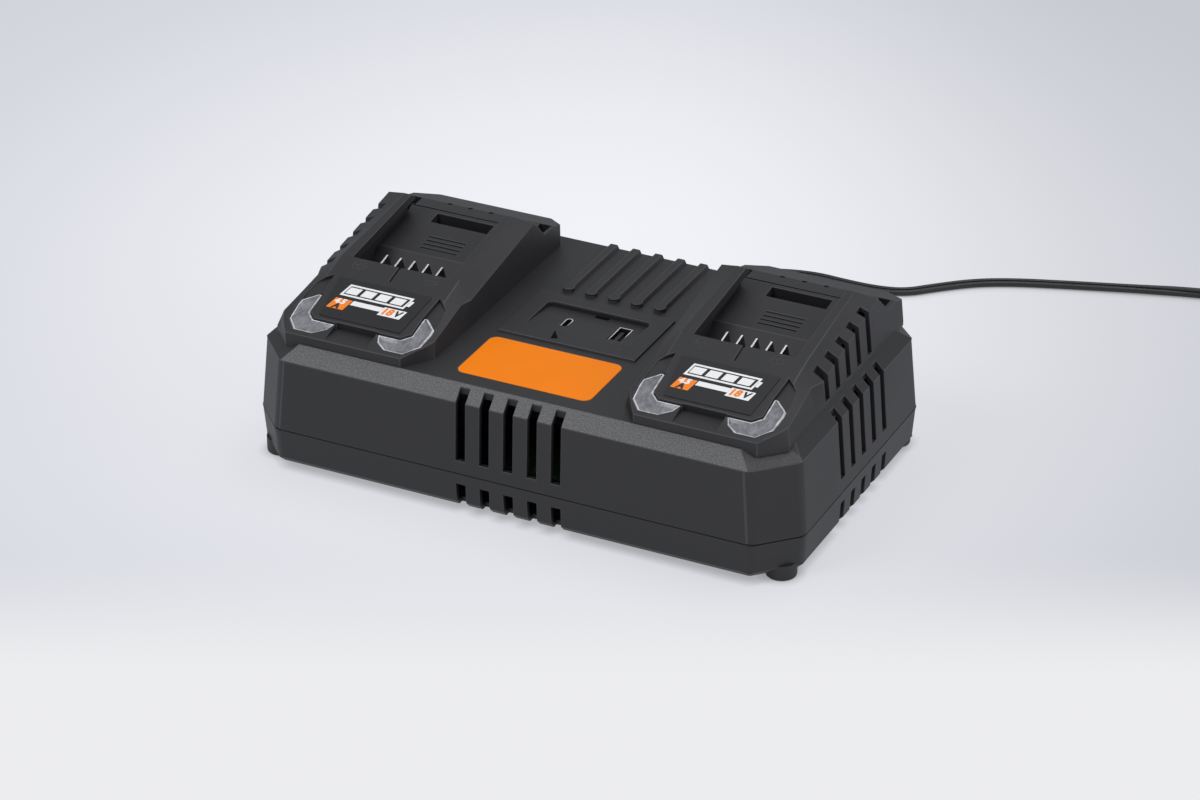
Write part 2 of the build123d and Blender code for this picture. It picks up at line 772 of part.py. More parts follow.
right_dock = Pos(dock_x, 0, 0) * dock_mass(0.0)
right_dock_cuts = Pos(dock_x, 0, 0) * dock_cuts.part
with BuildPart() as upper_housing:
    add(body_shape)
    add(right_dock)
    mirror(right_dock, about=Plane.YZ)
    with BuildSketch(Plane.XY.offset(top_z - past)):
        with Locations((0, body_front + platform_from_front + platform_length / 2)):
            Rectangle(platform_width, platform_length)
    extrude(amount=past + platform_height)
    add(ribs.part)
    add(room.part, mode=Mode.SUBTRACT)
    add(right_dock_cuts, mode=Mode.SUBTRACT)
    mirror(right_dock_cuts, about=Plane.YZ, mode=Mode.SUBTRACT)
    add(usb_cuts.part, mode=Mode.SUBTRACT)
    add(badge_recess.part, mode=Mode.SUBTRACT)
    add(body_vents.part, mode=Mode.SUBTRACT)
    # screw bores
    with BuildSketch(Plane.XY.offset(seam_z)):
        with Locations(*screw_places):
            Circle(screw_bore)
    extrude(amount=screw_length - base_height + screw_sink + past, mode=Mode.SUBTRACT)
save(upper_housing.part, "upper_housing")

# ---------------------------------------------------------------- lower housing

base_x = half_x - base_taper
base_y = half_y - base_taper
base_shape = stacked([
    (base_z, octagon(base_x, base_y, base_edge)),
    (base_z + base_edge, octagon(base_x, base_y)),
    (seam_z - seam_break, octagon(half_x, half_y)),
    (seam_z, octagon(half_x, half_y, seam_break))])
base_room = stacked([
    (floor_z, octagon(base_x, base_y, wall)),
    (seam_z, octagon(half_x, half_y, wall)),
    (seam_z + wall, octagon(half_x, half_y, wall))])
lip_gap = fit_gap + side_lean * lip_height / wall_height
lip_outer = octagon(half_x, half_y, wall + lip_gap)
lip_inner = octagon(half_x, half_y, wall + lip_gap + lip_thickness)
lip_root = octagon(half_x, half_y, wall / 2)
board_z = floor_z + board_height
board_top = board_z + board_thickness
board_screw_places = [(sx * (board_width / 2 - board_screw_inset),
                       board_y + sy * (board_depth / 2 - board_screw_inset))
                      for sx in (-1, 1) for sy in (-1, 1)]
relief_z = seam_z - relief_neck / 2 - fit_gap
fan_center = (fan_x, side_vent_center, floor_z + fan_size / 2)
cradle_x = fan_thickness / 2 + fit_gap + fan_cradle / 2

with BuildPart() as lower_housing:
    add(base_shape)
    add(base_room, mode=Mode.SUBTRACT)
    add(upright(lip_root, seam_z - 2 * lip_height, seam_z - lip_height))
    add(upright(lip_outer, seam_z - 2 * lip_height, seam_z + lip_height))
    add(upright(lip_inner, floor_z, seam_z + 2 * lip_height), mode=Mode.SUBTRACT)
    with BuildSketch(Plane.XY.offset(base_z + wall / 2)):
        with Locations(*screw_places):
            Circle(boss_radius)
    extrude(amount=seam_z - base_z - wall / 2)
    with BuildSketch(Plane.XY.offset(base_z + wall / 2)):
        with Locations(*board_screw_places):
            Circle(post_radius)
    extrude(amount=board_z - base_z - wall / 2)
    for side in (-1, 1):
        x = fan_x + side * cradle_x
        add(block((x - fan_cradle / 2, x + fan_cradle / 2),
                  (side_vent_center - fan_size / 2, side_vent_center + fan_size / 2),
                  (base_z + wall / 2, floor_z + fan_cradle_height)))
    # screw bores with sunk heads, and the bores for the board's screws
    with BuildSketch(Plane.XY.offset(base_z)):
        with Locations(*screw_places):
            Circle(screw_bore)
    extrude(amount=base_height, mode=Mode.SUBTRACT)
    with BuildSketch(Plane.XY.offset(base_z)):
        with Locations(*screw_places):
            Circle(screw_head_radius + 2 * fit_gap)
    extrude(amount=screw_sink, mode=Mode.SUBTRACT)
    with BuildSketch(Plane.XY.offset(floor_z)):
        with Locations(*board_screw_places):
            Circle(board_screw_radius)
    extrude(amount=board_height, mode=Mode.SUBTRACT)
    # notch for the strain relief
    add(block((cord_exit_x - relief_neck / 2 - fit_gap, cord_exit_x + relief_neck / 2 + fit_gap),
              (half_y - base_taper - 2 * wall - lip_thickness, half_y + past),
              (relief_z - relief_neck / 2 - fit_gap, seam_z + 2 * lip_height)),
        mode=Mode.SUBTRACT)
    # vents, open through the lower edge
    vent_reach = base_taper + wall + base_edge
    vent_z = (base_z - past, seam_z - base_vent_top)
    for i in range(vent_count):
        x = front_vent_pitch * (i - (vent_count - 1) / 2)
        add(block((x - vent_width / 2, x + vent_width / 2),
                  (body_front - past, body_front + vent_reach), vent_z), mode=Mode.SUBTRACT)
    for y in side_vent_places:
        for side in (-1, 1):
            ends = sorted((side * (half_x - vent_reach), side * (half_x + past)))
            add(block(ends, (y - vent_width / 2, y + vent_width / 2), vent_z),
                mode=Mode.SUBTRACT)
save(lower_housing.part, "lower_housing")

foot_places = [(sx * (half_x - foot_inset_x), sy * (half_y - foot_inset_y))
               for sx in (-1, 1) for sy in (-1, 1)]
with BuildPart() as rubber_feet:
    with BuildSketch():
        with Locations(*foot_places):
            Circle(foot_radius)
    extrude(amount=foot_height + foot_rise)
    chamfer(rubber_feet.edges().group_by(Axis.Z)[0], length=foot_edge)
    add(base_shape, mode=Mode.SUBTRACT)
save(rubber_feet.part, "rubber_feet")

head_z = base_z + screw_sink
with BuildPart() as housing_screws:
    with BuildSketch(Plane.XY.offset(head_z - screw_head_height)):
        with Locations(*screw_places):
            Circle(screw_head_radius)
    extrude(amount=screw_head_height)
    with BuildSketch(Plane.XY.offset(head_z - screw_head_height)):
        with Locations(*screw_places):
            Circle(screw_radius)
    extrude(amount=screw_head_height + screw_length)
    with BuildSketch(Plane.XY.offset(head_z - screw_head_height)):
        with Locations(*screw_places):
            RegularPolygon(screw_radius, 6)
    extrude(amount=screw_head_height / 2, mode=Mode.SUBTRACT)
save(housing_screws.part, "housing_screws")

# ---------------------------------------------------------------- on top of the housing

with BuildPart() as center_badge:
    with BuildSketch(Plane.XY.offset(top_z - badge_thickness)):
        with Locations((badge_x, badge_y)):
            RectangleRounded(badge_width, badge_length, badge_corner)
    extrude(amount=badge_thickness)
save(center_badge.part, "center_badge")

# The pieces of one dock, drawn for its centre plane at X = 0
with BuildPart() as dock_label:
    with BuildSketch(hood_plane):
        Polygon((-label_half_front, label_front), (label_half_front, label_front),
                (label_half_rear, label_front + label_length),
                (-label_half_rear, label_front + label_length), align=None)
    extrude(amount=label_thickness)

guide_blank = upright(guide_outline, guide_z, sky_z)
with BuildPart() as light_guide:
    add(guide_blank)
    split(bisect_by=hood_plane.offset(-guide_drop), keep=Keep.BOTTOM)
    top_face = light_guide.faces().sort_by(Axis.Z)[-1]
    chamfer(top_face.edges(), length=guide_edge)

block_back = hood_y - wall - block_depth
blade_profile = [
    (block_back + past, top_z + blade_bottom), (hood_y + blade_reach, top_z + blade_bottom),
    (hood_y + blade_reach, top_z + blade_top + blade_rise - blade_nose_drop),
    (hood_y + blade_reach - blade_nose, top_z + blade_top + blade_rise),
    (hood_y + block_face, top_z + blade_top), (block_back + past, top_z + blade_top)]
with BuildPart() as blades:
    for i in range(blade_count):
        x = blade_pitch * (i - (blade_count - 1) / 2)
        with BuildSketch(Plane.YZ.offset(x)):
            Polygon(*blade_profile, align=None)
    extrude(amount=blade_thickness / 2, both=True)

with BuildPart() as terminal_block:
    add(block((-block_half, block_half), (block_back, hood_y + block_face),
              (top_z + block_low, top_z + block_high)))
    add(block((-block_half - flange_rim, block_half + flange_rim),
              (hood_y - wall - flange_thickness, hood_y - wall),
              (top_z + block_low - flange_rim, top_z + block_high)))
    add(blades.part, mode=Mode.SUBTRACT)

dock_board_y = nose_y + dock_board_from_nose
with BuildPart() as dock_board:
    add(block((-dock_board_size[0] / 2, dock_board_size[0] / 2),
              (dock_board_y - dock_board_size[1] / 2, dock_board_y + dock_board_size[1] / 2),
              (dock_posts_z - dock_board_size[2], dock_posts_z)))

with BuildPart() as status_leds:
    with BuildSketch(Plane.XY.offset(dock_posts_z)):
        with GridLocations(2 * led_x, 1, 2, 1):
            with Locations((0, nose_y + led_from_nose)):
                Rectangle(led_size[0], led_size[1])
    extrude(amount=led_size[2])


def save_pair(piece, name):
    """Write a dock piece for the right dock and its mirror image for the left one."""
    right = Pos(dock_x, 0, 0) * piece
    with BuildPart() as left:
        mirror(right, about=Plane.YZ)
    save(right, f"right_{name}")
    save(left.part, f"left_{name}")


save_pair(dock_label.part, "dock_label")
save_pair(terminal_block.part, "terminal_block")
save_pair(blades.part, "terminal_blades")
save_pair(dock_board.part, "dock_board")
save_pair(status_leds.part, "status_leds")
save_pair(light_guide.part, "outer_light_guide")
with BuildPart() as inner_guide:
    mirror(light_guide.part, about=Plane.YZ)
save_pair(inner_guide.part, "inner_light_guide")

# ---------------------------------------------------------------- USB sockets

with BuildPart() as usb_a_shell:
    with BuildSketch(Plane.XY.offset(usb_board_top)):
        with Locations((usb_a_x, usb_y)):
            Rectangle(usb_a_size[1], usb_a_size[0])
            Rectangle(usb_a_size[1] - 2 * usb_shell, usb_a_size[0] - 2 * usb_shell,
                      mode=Mode.SUBTRACT)
    extrude(amount=usb_depth)
save(usb_a_shell.part, "usb_a_shell")

tongue_x = usb_a_x + usb_a_tongue_shift
with BuildPart() as usb_a_tongue:
    with BuildSketch(Plane.XY.offset(usb_board_top)):
        with Locations((usb_a_x, usb_y)):
            Rectangle(usb_a_size[1] - 2 * usb_shell, usb_a_size[0] - 2 * usb_shell)
    extrude(amount=usb_base)
    with BuildSketch(Plane.XY.offset(usb_board_top)):
        with Locations((tongue_x, usb_y)):
            Rectangle(usb_a_tongue_size[1], usb_a_tongue_size[0])
    extrude(amount=usb_depth - usb_tongue_sink)
save(usb_a_tongue.part, "usb_a_tongue")

with BuildPart() as usb_a_contacts:
    with BuildSketch(Plane.XY.offset(usb_board_top + usb_base)):
        with Locations((tongue_x + usb_a_tongue_size[1] / 2 + usb_contact[1] / 2, usb_y)):
            with GridLocations(1, usb_contact_pitch, 1, usb_contact_count):
                Rectangle(usb_contact[1], usb_contact[0])
    extrude(amount=usb_depth - usb_tongue_sink - usb_base - usb_contact[0])
save(usb_a_contacts.part, "usb_a_contacts")

with BuildPart() as usb_c_shell:
    with BuildSketch(Plane.XY.offset(usb_board_top)):
        with Locations((usb_c_x, usb_y)):
            SlotOverall(usb_c_size[0], usb_c_size[1], rotation=90)
            SlotOverall(usb_c_size[0] - 2 * usb_shell, usb_c_size[1] - 2 * usb_shell,
                        rotation=90, mode=Mode.SUBTRACT)
    extrude(amount=usb_depth)
save(usb_c_shell.part, "usb_c_shell")

with BuildPart() as usb_c_tongue:
    with BuildSketch(Plane.XY.offset(usb_board_top)):
        with Locations((usb_c_x, usb_y)):
            SlotOverall(usb_c_size[0] - 2 * usb_shell, usb_c_size[1] - 2 * usb_shell, rotation=90)
    extrude(amount=usb_base)
    with BuildSketch(Plane.XY.offset(usb_board_top)):
        with Locations((usb_c_x, usb_y)):
            Rectangle(usb_c_tongue_size[1], usb_c_tongue_size[0])
    extrude(amount=usb_depth - usb_tongue_sink)
save(usb_c_tongue.part, "usb_c_tongue")

usb_board_low = usb_board_top - usb_board_size[2]
with BuildPart() as usb_board:
    add(block((usb_board_x - usb_board_size[0] / 2, usb_board_x + usb_board_size[0] / 2),
              (usb_y - usb_board_size[1] / 2, usb_y + usb_board_size[1] / 2),
              (usb_board_low, usb_board_top)))
save(usb_board.part, "usb_board")

# ---------------------------------------------------------------- main board

with BuildPart() as main_board:
    with BuildSketch(Plane.XY.offset(board_z)):
        with Locations((0, board_y)):
            Rectangle(board_width, board_depth)
        with Locations(*board_screw_places):
            Circle(board_screw_radius + fit_gap, mode=Mode.SUBTRACT)
    extrude(amount=board_thickness)
save(main_board.part, "main_board")

with BuildPart() as board_screws:
    with BuildSketch(Plane.XY.offset(floor_z)):
        with Locations(*board_screw_places):
            Circle(board_screw_radius)
    extrude(amount=board_top - floor_z)
    with BuildSketch(Plane.XY.offset(board_top)):
        with Locations(*board_screw_places):
            Circle(board_screw_head)
            RegularPolygon(board_screw_radius, 6, mode=Mode.SUBTRACT)
    extrude(amount=board_screw_head_height)
save(board_screws.part, "board_screws")

core_x, core_y = core_place
core_height = usb_board_low - core_headroom - board_top
window_z = board_top + (core_height - core_window[1]) / 2
core_box = block((core_x - core_width / 2, core_x + core_width / 2),
                 (core_y - core_depth / 2, core_y + core_depth / 2),
                 (board_top, board_top + core_height))
with BuildPart() as transformer_core:
    add(core_box)
    add(block((core_x - core_window[0] / 2, core_x + core_window[0] / 2),
              (core_y - core_depth, core_y + core_depth),
              (window_z, window_z + core_window[1])), mode=Mode.SUBTRACT)
    with BuildSketch(Plane.XY.offset(board_top + past)):
        with Locations(core_place):
            Circle(core_leg)
    extrude(amount=core_height - 2 * past)
save(transformer_core.part, "transformer_core")

with BuildPart() as transformer_winding:
    with BuildSketch(Plane.XY.offset(window_z + winding_gap)):
        with Locations(core_place):
            Rectangle(core_window[0] - 2 * winding_gap, winding_depth)
        fillet(vertices(), radius=core_leg)
        with Locations(core_place):
            Circle(core_leg + winding_gap, mode=Mode.SUBTRACT)
    extrude(amount=core_window[1] - 2 * winding_gap)
save(transformer_winding.part, "transformer_winding")


def capacitors(place, radius, height, pitch, count):
    """Row of upright round capacitors along Y on the main board."""
    with BuildPart() as row:
        with BuildSketch(Plane.XY.offset(board_top)):
            with Locations(place):
                with GridLocations(1, pitch, 1, count):
                    Circle(radius)
        extrude(amount=height)
        chamfer(row.edges().group_by(Axis.Z)[-1], length=can_edge)
    return row.part


def heat_sink(x):
    """Upright plate with fins on its rear side."""
    with BuildPart() as sink:
        with BuildSketch(Plane.XY.offset(board_top)):
            with Locations((x, sink_y)):
                Rectangle(sink_size[0], sink_size[1])
                with GridLocations(fin_pitch, 1, fin_count, 1):
                    with Locations((0, (sink_size[1] + fin_depth) / 2)):
                        Rectangle(fin_thickness, fin_depth)
        extrude(amount=sink_size[2])
    return sink.part


def from_left_end(place):
    """Place on the board that is measured from its left end."""
    return board_left + place[0], place[1]


save(capacitors(from_left_end(bulk_from_end), bulk_radius, bulk_height, bulk_pitch, 2),
     "bulk_capacitors")
save(capacitors(output_place, output_radius, output_height, output_pitch, output_count),
     "output_capacitors")
save(heat_sink(sink_x[0]), "primary_heat_sink")
save(heat_sink(sink_x[1]), "output_heat_sink")

with BuildPart() as power_transistors:
    with BuildSketch(Plane.XY.offset(board_top)):
        for x in sink_x:
            with Locations((x, sink_y - (sink_size[1] + transistor_size[1]) / 2)):
                with GridLocations(transistor_pitch, 1, 2, 1):
                    Rectangle(transistor_size[0], transistor_size[1])
    extrude(amount=transistor_size[2])
save(power_transistors.part, "power_transistors")

with BuildPart() as common_mode_choke:
    with BuildSketch(Plane.XY.offset(board_top)):
        with Locations(from_left_end(choke_from_end)):
            Circle(choke_radius)
            Circle(choke_bore, mode=Mode.SUBTRACT)
    extrude(amount=choke_thickness)
    fillet(common_mode_choke.edges().group_by(Axis.Z)[-1], radius=choke_edge)
save(common_mode_choke.part, "common_mode_choke")


def standing_box(place, size, name):
    """Box-shaped part on the main board."""
    with BuildPart() as box:
        with BuildSketch(Plane.XY.offset(board_top)):
            with Locations(place):
                Rectangle(size[0], size[1])
        extrude(amount=size[2])
    save(box.part, name)


standing_box(from_left_end(fuse_from_end), fuse_size, "mains_fuse")
standing_box(from_left_end(bridge_from_end), bridge_size, "bridge_rectifier")

# ---------------------------------------------------------------- fan
# The fan blows along X, between the side vents and the boards.

fan_plane = Plane(origin=(fan_x - fan_thickness / 2, fan_center[1], fan_center[2]),
                  x_dir=(0, 1, 0), z_dir=(1, 0, 0))
with BuildPart() as fan_frame:
    with BuildSketch(fan_plane):
        Rectangle(fan_size, fan_size)
        Circle(fan_bore, mode=Mode.SUBTRACT)
    extrude(amount=fan_thickness)
    with BuildSketch(fan_plane):
        Rectangle(fan_size - past, fan_strut)
        Rectangle(fan_strut, fan_size - past)
        Circle(fan_hub_radius)
        Circle(fan_shaft_radius + fan_shaft_gap, mode=Mode.SUBTRACT)
    extrude(amount=fan_plate)
save(fan_frame.part, "fan_frame")

hub_plane = fan_plane.offset(fan_plate + fan_run_gap)
with BuildPart() as fan_blade:
    with BuildSketch(Plane.XZ.offset(-fan_hub_radius + past)):
        Rectangle(fan_blade_thickness, fan_blade_chord, rotation=fan_blade_turn)
    extrude(amount=-(fan_blade_tip - fan_hub_radius + past))
with BuildPart() as fan_rotor:
    with BuildSketch(hub_plane):
        Circle(fan_hub_radius)
    extrude(amount=fan_hub_length)
    with BuildSketch(fan_plane):
        Circle(fan_shaft_radius)
    extrude(amount=fan_plate + fan_run_gap + past)
    for i in range(fan_blade_count):
        turned = Rot(0, 0, 360 * i / fan_blade_count) * fan_blade.part
        add(hub_plane.offset(fan_hub_length / 2).location * turned)
save(fan_rotor.part, "fan_rotor")

# ---------------------------------------------------------------- internal leads

relief_inner_y = half_y - wall - lip_gap - lip_thickness - fit_gap


def lead(start, direction, end):
    """Insulated lead that leaves one face squarely and lands on the main board."""
    out = tuple(a + lead_straight * b for a, b in zip(start, direction))
    above = (end[0], end[1], board_top + lead_straight)
    return tube([start, out, above, (end[0], end[1], board_top)], lead_radius)[0]


mains_lead = lead((cord_exit_x, relief_inner_y - relief_flange, relief_z), (0, -1, 0),
                  from_left_end(mains_lead_from_end))
save(mains_lead, "mains_lead")

block_middle_z = top_z + (block_low + block_high) / 2
dock_lead = lead((dock_x, block_back, block_middle_z), (0, -1, 0),
                 (dock_x - dock_lead_from_dock[0], dock_lead_from_dock[1]))
with BuildPart() as dock_leads:
    add(dock_lead)
    mirror(dock_lead, about=Plane.YZ)
save(dock_leads.part, "dock_leads")

dock_board_low = dock_posts_z - dock_board_size[2]
board_lead = lead((dock_x - lead_offset, dock_board_y, dock_board_low), (0, 0, -1),
                  (dock_x - board_lead_from_dock[0], board_lead_from_dock[1]))
usb_lead = lead((usb_board_x, usb_y - usb_board_size[1] / 3, usb_board_low), (0, 0, -1),
                usb_lead_end)
fan_lead = lead((fan_x - fan_thickness / 2, fan_center[1] + fan_size / 2 - lead_radius - past,
                 floor_z + fan_size - lead_radius - past), (-1, 0, 0),
                (board_right - fan_lead_from_end[0], fan_lead_from_end[1]))
with BuildPart() as board_leads:
    add(board_lead)
    mirror(board_lead, about=Plane.YZ)
    add(usb_lead)
    add(fan_lead)
save(board_leads.part, "board_leads")

# ---------------------------------------------------------------- mains cord

relief_outer_y = half_y + relief_flange
boot_plane = Plane(origin=(cord_exit_x, relief_outer_y, relief_z), x_dir=(1, 0, 0),
                   z_dir=(0, 1, 0))
with BuildPart() as strain_relief:
    add(block((cord_exit_x - relief_width / 2, cord_exit_x + relief_width / 2),
              (half_y, relief_outer_y),
              (relief_z - relief_width / 2, relief_z + relief_width / 2)))
    add(block((cord_exit_x - relief_neck / 2, cord_exit_x + relief_neck / 2),
              (relief_inner_y - relief_flange, relief_outer_y),
              (relief_z - relief_neck / 2, relief_z + relief_neck / 2)))
    add(block((cord_exit_x - relief_width / 2, cord_exit_x + relief_width / 2),
              (relief_inner_y - relief_flange, relief_inner_y),
              (relief_z - relief_width / 2, relief_z + relief_neck / 2)))
    with BuildSketch(boot_plane):
        Circle(boot_radius_wall)
    with BuildSketch(boot_plane.offset(boot_length)):
        Circle(boot_radius_tip)
    loft()
save(strain_relief.part, "strain_relief")

cord_radius = cord_diameter / 2
boot_tip = (cord_exit_x, relief_outer_y + boot_length, relief_z)
coil_outer = coil_radius + coil_turns_across * cord_diameter / 2
coil_turn = coil_outer - cord_radius
cord_route = [boot_tip] + [(x, y, z + cord_radius) for x, y, z in cord_floor_route]
mains_cord, cord_length, cord_bends = tube(cord_route, cord_radius)
save(mains_cord, "mains_cord")
print("cord radii", [round(bend, 1) for bend in cord_bends])

with BuildPart() as mains_cord_coil:
    with BuildSketch():
        with Locations(coil_center):
            Circle(coil_outer)
            Circle(coil_outer - coil_turns_across * cord_diameter, mode=Mode.SUBTRACT)
    extrude(amount=coil_layers * cord_diameter)
    fillet(mains_cord_coil.edges(), radius=coil_edge)
save(mains_cord_coil.part, "mains_cord_coil")

plug_z = plug_height / 2
plug_cord_y = plug_place[1] + plug_neck
tail_route = [(coil_center[0] + coil_turn, coil_center[1], cord_radius)]
tail_route += [(x, y, z + cord_radius) for x, y, z in tail_floor_route]
tail_route += [(plug_place[0], plug_cord_y + plug_straight, plug_z),
               (plug_place[0], plug_cord_y, plug_z)]
cord_tail, tail_cord_length, tail_bends = tube(tail_route, cord_radius)
save(cord_tail, "mains_cord_tail")
print("tail radii", [round(bend, 1) for bend in tail_bends])

with BuildPart() as plug_body:
    with BuildSketch(Plane.XZ.offset(-plug_place[1])):
        with Locations((plug_place[0], plug_z)):
            RectangleRounded(plug_width, plug_height, plug_corner)
    with BuildSketch(Plane.XZ.offset(-plug_place[1] + plug_length)):
        with Locations((plug_place[0], plug_z)):
            RectangleRounded(plug_width, plug_height, plug_corner)
    loft(ruled=True)
    with BuildSketch(Plane.XZ.offset(-plug_cord_y)):
        with Locations((plug_place[0], plug_z)):
            Circle(boot_radius_tip)
    with BuildSketch(Plane.XZ.offset(-plug_place[1])):
        with Locations((plug_place[0], plug_z)):
            Circle(boot_radius_wall)
    loft()
save(plug_body.part, "plug_body")

pin_y = plug_place[1] - plug_length
with BuildPart() as plug_pins:
    with BuildSketch(Plane.XZ.offset(-pin_y)):
        with Locations((plug_place[0], plug_z)):
            with GridLocations(pin_spacing, 1, 2, 1):
                Circle(pin_radius)
    extrude(amount=pin_length)
    fillet(plug_pins.edges().group_by(Axis.Y)[0], radius=pin_radius / 2)
save(plug_pins.part, "plug_pins")

turns = coil_turns_across * coil_layers
coil_length = turns * 2 * pi * coil_radius
print("cord length", round(cord_length + coil_length + tail_cord_length))
for name, solid, length in (("cord", mains_cord, cord_length), ("tail", cord_tail, tail_cord_length)):
    print(name, "volume", round(solid.volume), "section x length",
          round(pi * cord_radius ** 2 * length))
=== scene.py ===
import json
import math

import bmesh
import bpy
from bpy.props import FloatProperty, FloatVectorProperty, IntProperty, PointerProperty
from mathutils import Matrix, Vector

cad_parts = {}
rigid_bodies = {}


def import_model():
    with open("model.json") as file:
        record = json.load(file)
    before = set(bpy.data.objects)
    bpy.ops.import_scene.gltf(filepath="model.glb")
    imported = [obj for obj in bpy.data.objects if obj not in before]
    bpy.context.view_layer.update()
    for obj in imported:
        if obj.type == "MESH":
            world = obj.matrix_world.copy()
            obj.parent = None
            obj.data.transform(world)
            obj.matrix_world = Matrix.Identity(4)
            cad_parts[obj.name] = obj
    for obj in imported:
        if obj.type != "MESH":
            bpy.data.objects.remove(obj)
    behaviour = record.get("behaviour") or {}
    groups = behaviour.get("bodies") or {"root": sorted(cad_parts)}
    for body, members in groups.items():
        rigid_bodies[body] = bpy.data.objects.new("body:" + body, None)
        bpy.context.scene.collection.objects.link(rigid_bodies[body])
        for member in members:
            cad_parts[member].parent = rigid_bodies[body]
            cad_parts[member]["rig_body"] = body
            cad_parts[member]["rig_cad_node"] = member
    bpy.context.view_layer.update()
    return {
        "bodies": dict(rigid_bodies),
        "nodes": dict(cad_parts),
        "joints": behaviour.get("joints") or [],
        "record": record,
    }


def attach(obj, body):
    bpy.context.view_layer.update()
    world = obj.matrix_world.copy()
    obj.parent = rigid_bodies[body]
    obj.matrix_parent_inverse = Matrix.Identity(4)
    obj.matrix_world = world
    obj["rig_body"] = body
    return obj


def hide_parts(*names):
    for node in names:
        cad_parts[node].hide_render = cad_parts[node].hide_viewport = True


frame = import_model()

bl_info = {
    "name": "Dual bay battery charger",
    "version": (1, 0, 0),
    "blender": (4, 5, 0),
    "location": "3D View > Sidebar > Charger",
    "description": "Dresses a two-bay tool battery charger and sets its studio",
    "category": "Add Mesh",
}

MM = 0.001
NODES = frame["nodes"]
SIDES = (("left", -1), ("right", 1))

# Places and sizes on the charger, in millimetres, as the CAD has them
HALF_X, HALF_Y = 134.2, 81.65
CORNER_CUT_X, CORNER_CUT_Y = 17.2, 17.75
SEAM_Z, BEND_Z, TOP_Z = 21.0, 55.8, 62.4
# Half width and fade of the painted shade along the parting groove
SEAM_HALF, SEAM_FADE = 0.5, 0.62
BAND_BACK_Y = -60.5
PLATFORM_RISE = 1.0
DOCK_X = 85.0
HOOD_NOSE_Y, HOOD_NOSE_Z = -73.15, 66.7
HOOD_ANGLE = math.atan2(14.5, 53.0)
LABEL_TOP = 0.4
RECESS_SLOPE = math.atan2(2.5, 26.0)

# Rounding of the pieces' edges, in millimetres
CORNER_ROUND, EDGE_ROUND = 2.6, 0.32
LABEL_CORNER_ROUND, LABEL_EDGE_ROUND = 1.6, 0.12
FOOT_ROUND, BLADE_ROUND = 0.6, 0.12
CORNER_REACH, CORNER_FACES_REACH = 3.0, 3.4
SHARP_ANGLE, SMOOTH_ANGLE = math.radians(24), math.radians(32)

# What counts as one point, in millimetres, and as one flat face in a copied CAD mesh
SAME_POINT, SAME_FACE = 0.002, math.radians(0.6)

# The light guides' gutter, in millimetres
GUIDE_RIM, GUIDE_SLOPE, GUIDE_DEPTH = 0.42, 1.25, 0.9

# Print on the labels and on the top, in millimetres; the lean is a share of the height
PATCH_DEPTH, TEXT_DEPTH, PRINT_SINK = 0.05, 0.09, 0.01
PRINT_LEAN = 0.25
RECESS_SLIT = (1.8, 9.9, TOP_Z + PLATFORM_RISE - 24.75 * math.tan(RECESS_SLOPE) + 0.12)
ARROW_MIDDLE = (-8.3, -18.3, TOP_Z + PLATFORM_RISE - PRINT_SINK)
ARROW_TURN, ARROW_RADIUS, ARROW_SLIMNESS = math.radians(23), 5.2, 0.37

# The camera's place in metres; it looks from the front right and from above
VIEW_TURN, VIEW_DROP = math.radians(26.02), 28.93
CAMERA_PLACE = (0.7024, -1.42785, 0.903)
LAMPS = (
    # name, place, size, power
    ("key_lamp", (-0.9, -1.3, 1.9), 1.2, 18.5),
    ("top_lamp", (0.3, 0.5, 2.0), 1.4, 11.0),
    ("side_lamp", (1.9, 0.2, 0.9), 1.0, 7.0))
SKY_COLOR, SKY_STRENGTH = (0.93, 0.95, 1.0, 1.0), 0.5


# ---------------------------------------------------------------- materials


class Number:
    """A number socket that Python's operators add Math nodes to."""

    def __init__(self, finish, socket):
        self.finish, self.socket = finish, socket

    def _math(self, operation, first, second=0.0):
        return self.finish.node(
            "ShaderNodeMath", {"operation": operation}, {0: first, 1: second}
        )

    def __add__(self, other):
        return self._math("ADD", self, other)

    def __radd__(self, other):
        return self._math("ADD", other, self)

    def __sub__(self, other):
        return self._math("SUBTRACT", self, other)

    def __rsub__(self, other):
        return self._math("SUBTRACT", other, self)

    def __mul__(self, other):
        return self._math("MULTIPLY", self, other)

    def __rmul__(self, other):
        return self._math("MULTIPLY", other, self)

    def __pow__(self, other):
        return self._math("POWER", self, other)

    def __abs__(self):
        return self._math("ABSOLUTE", self)

    def step(self, low, high):
        """0 at low, 1 at high and smooth between them; high may be under low."""
        turned = high < low
        rise = self.finish.node(
            "ShaderNodeMapRange",
            {"interpolation_type": "SMOOTHSTEP"},
            {"Value": self, "From Min": min(low, high), "From Max": max(low, high)},
        )
        return 1 - rise if turned else rise


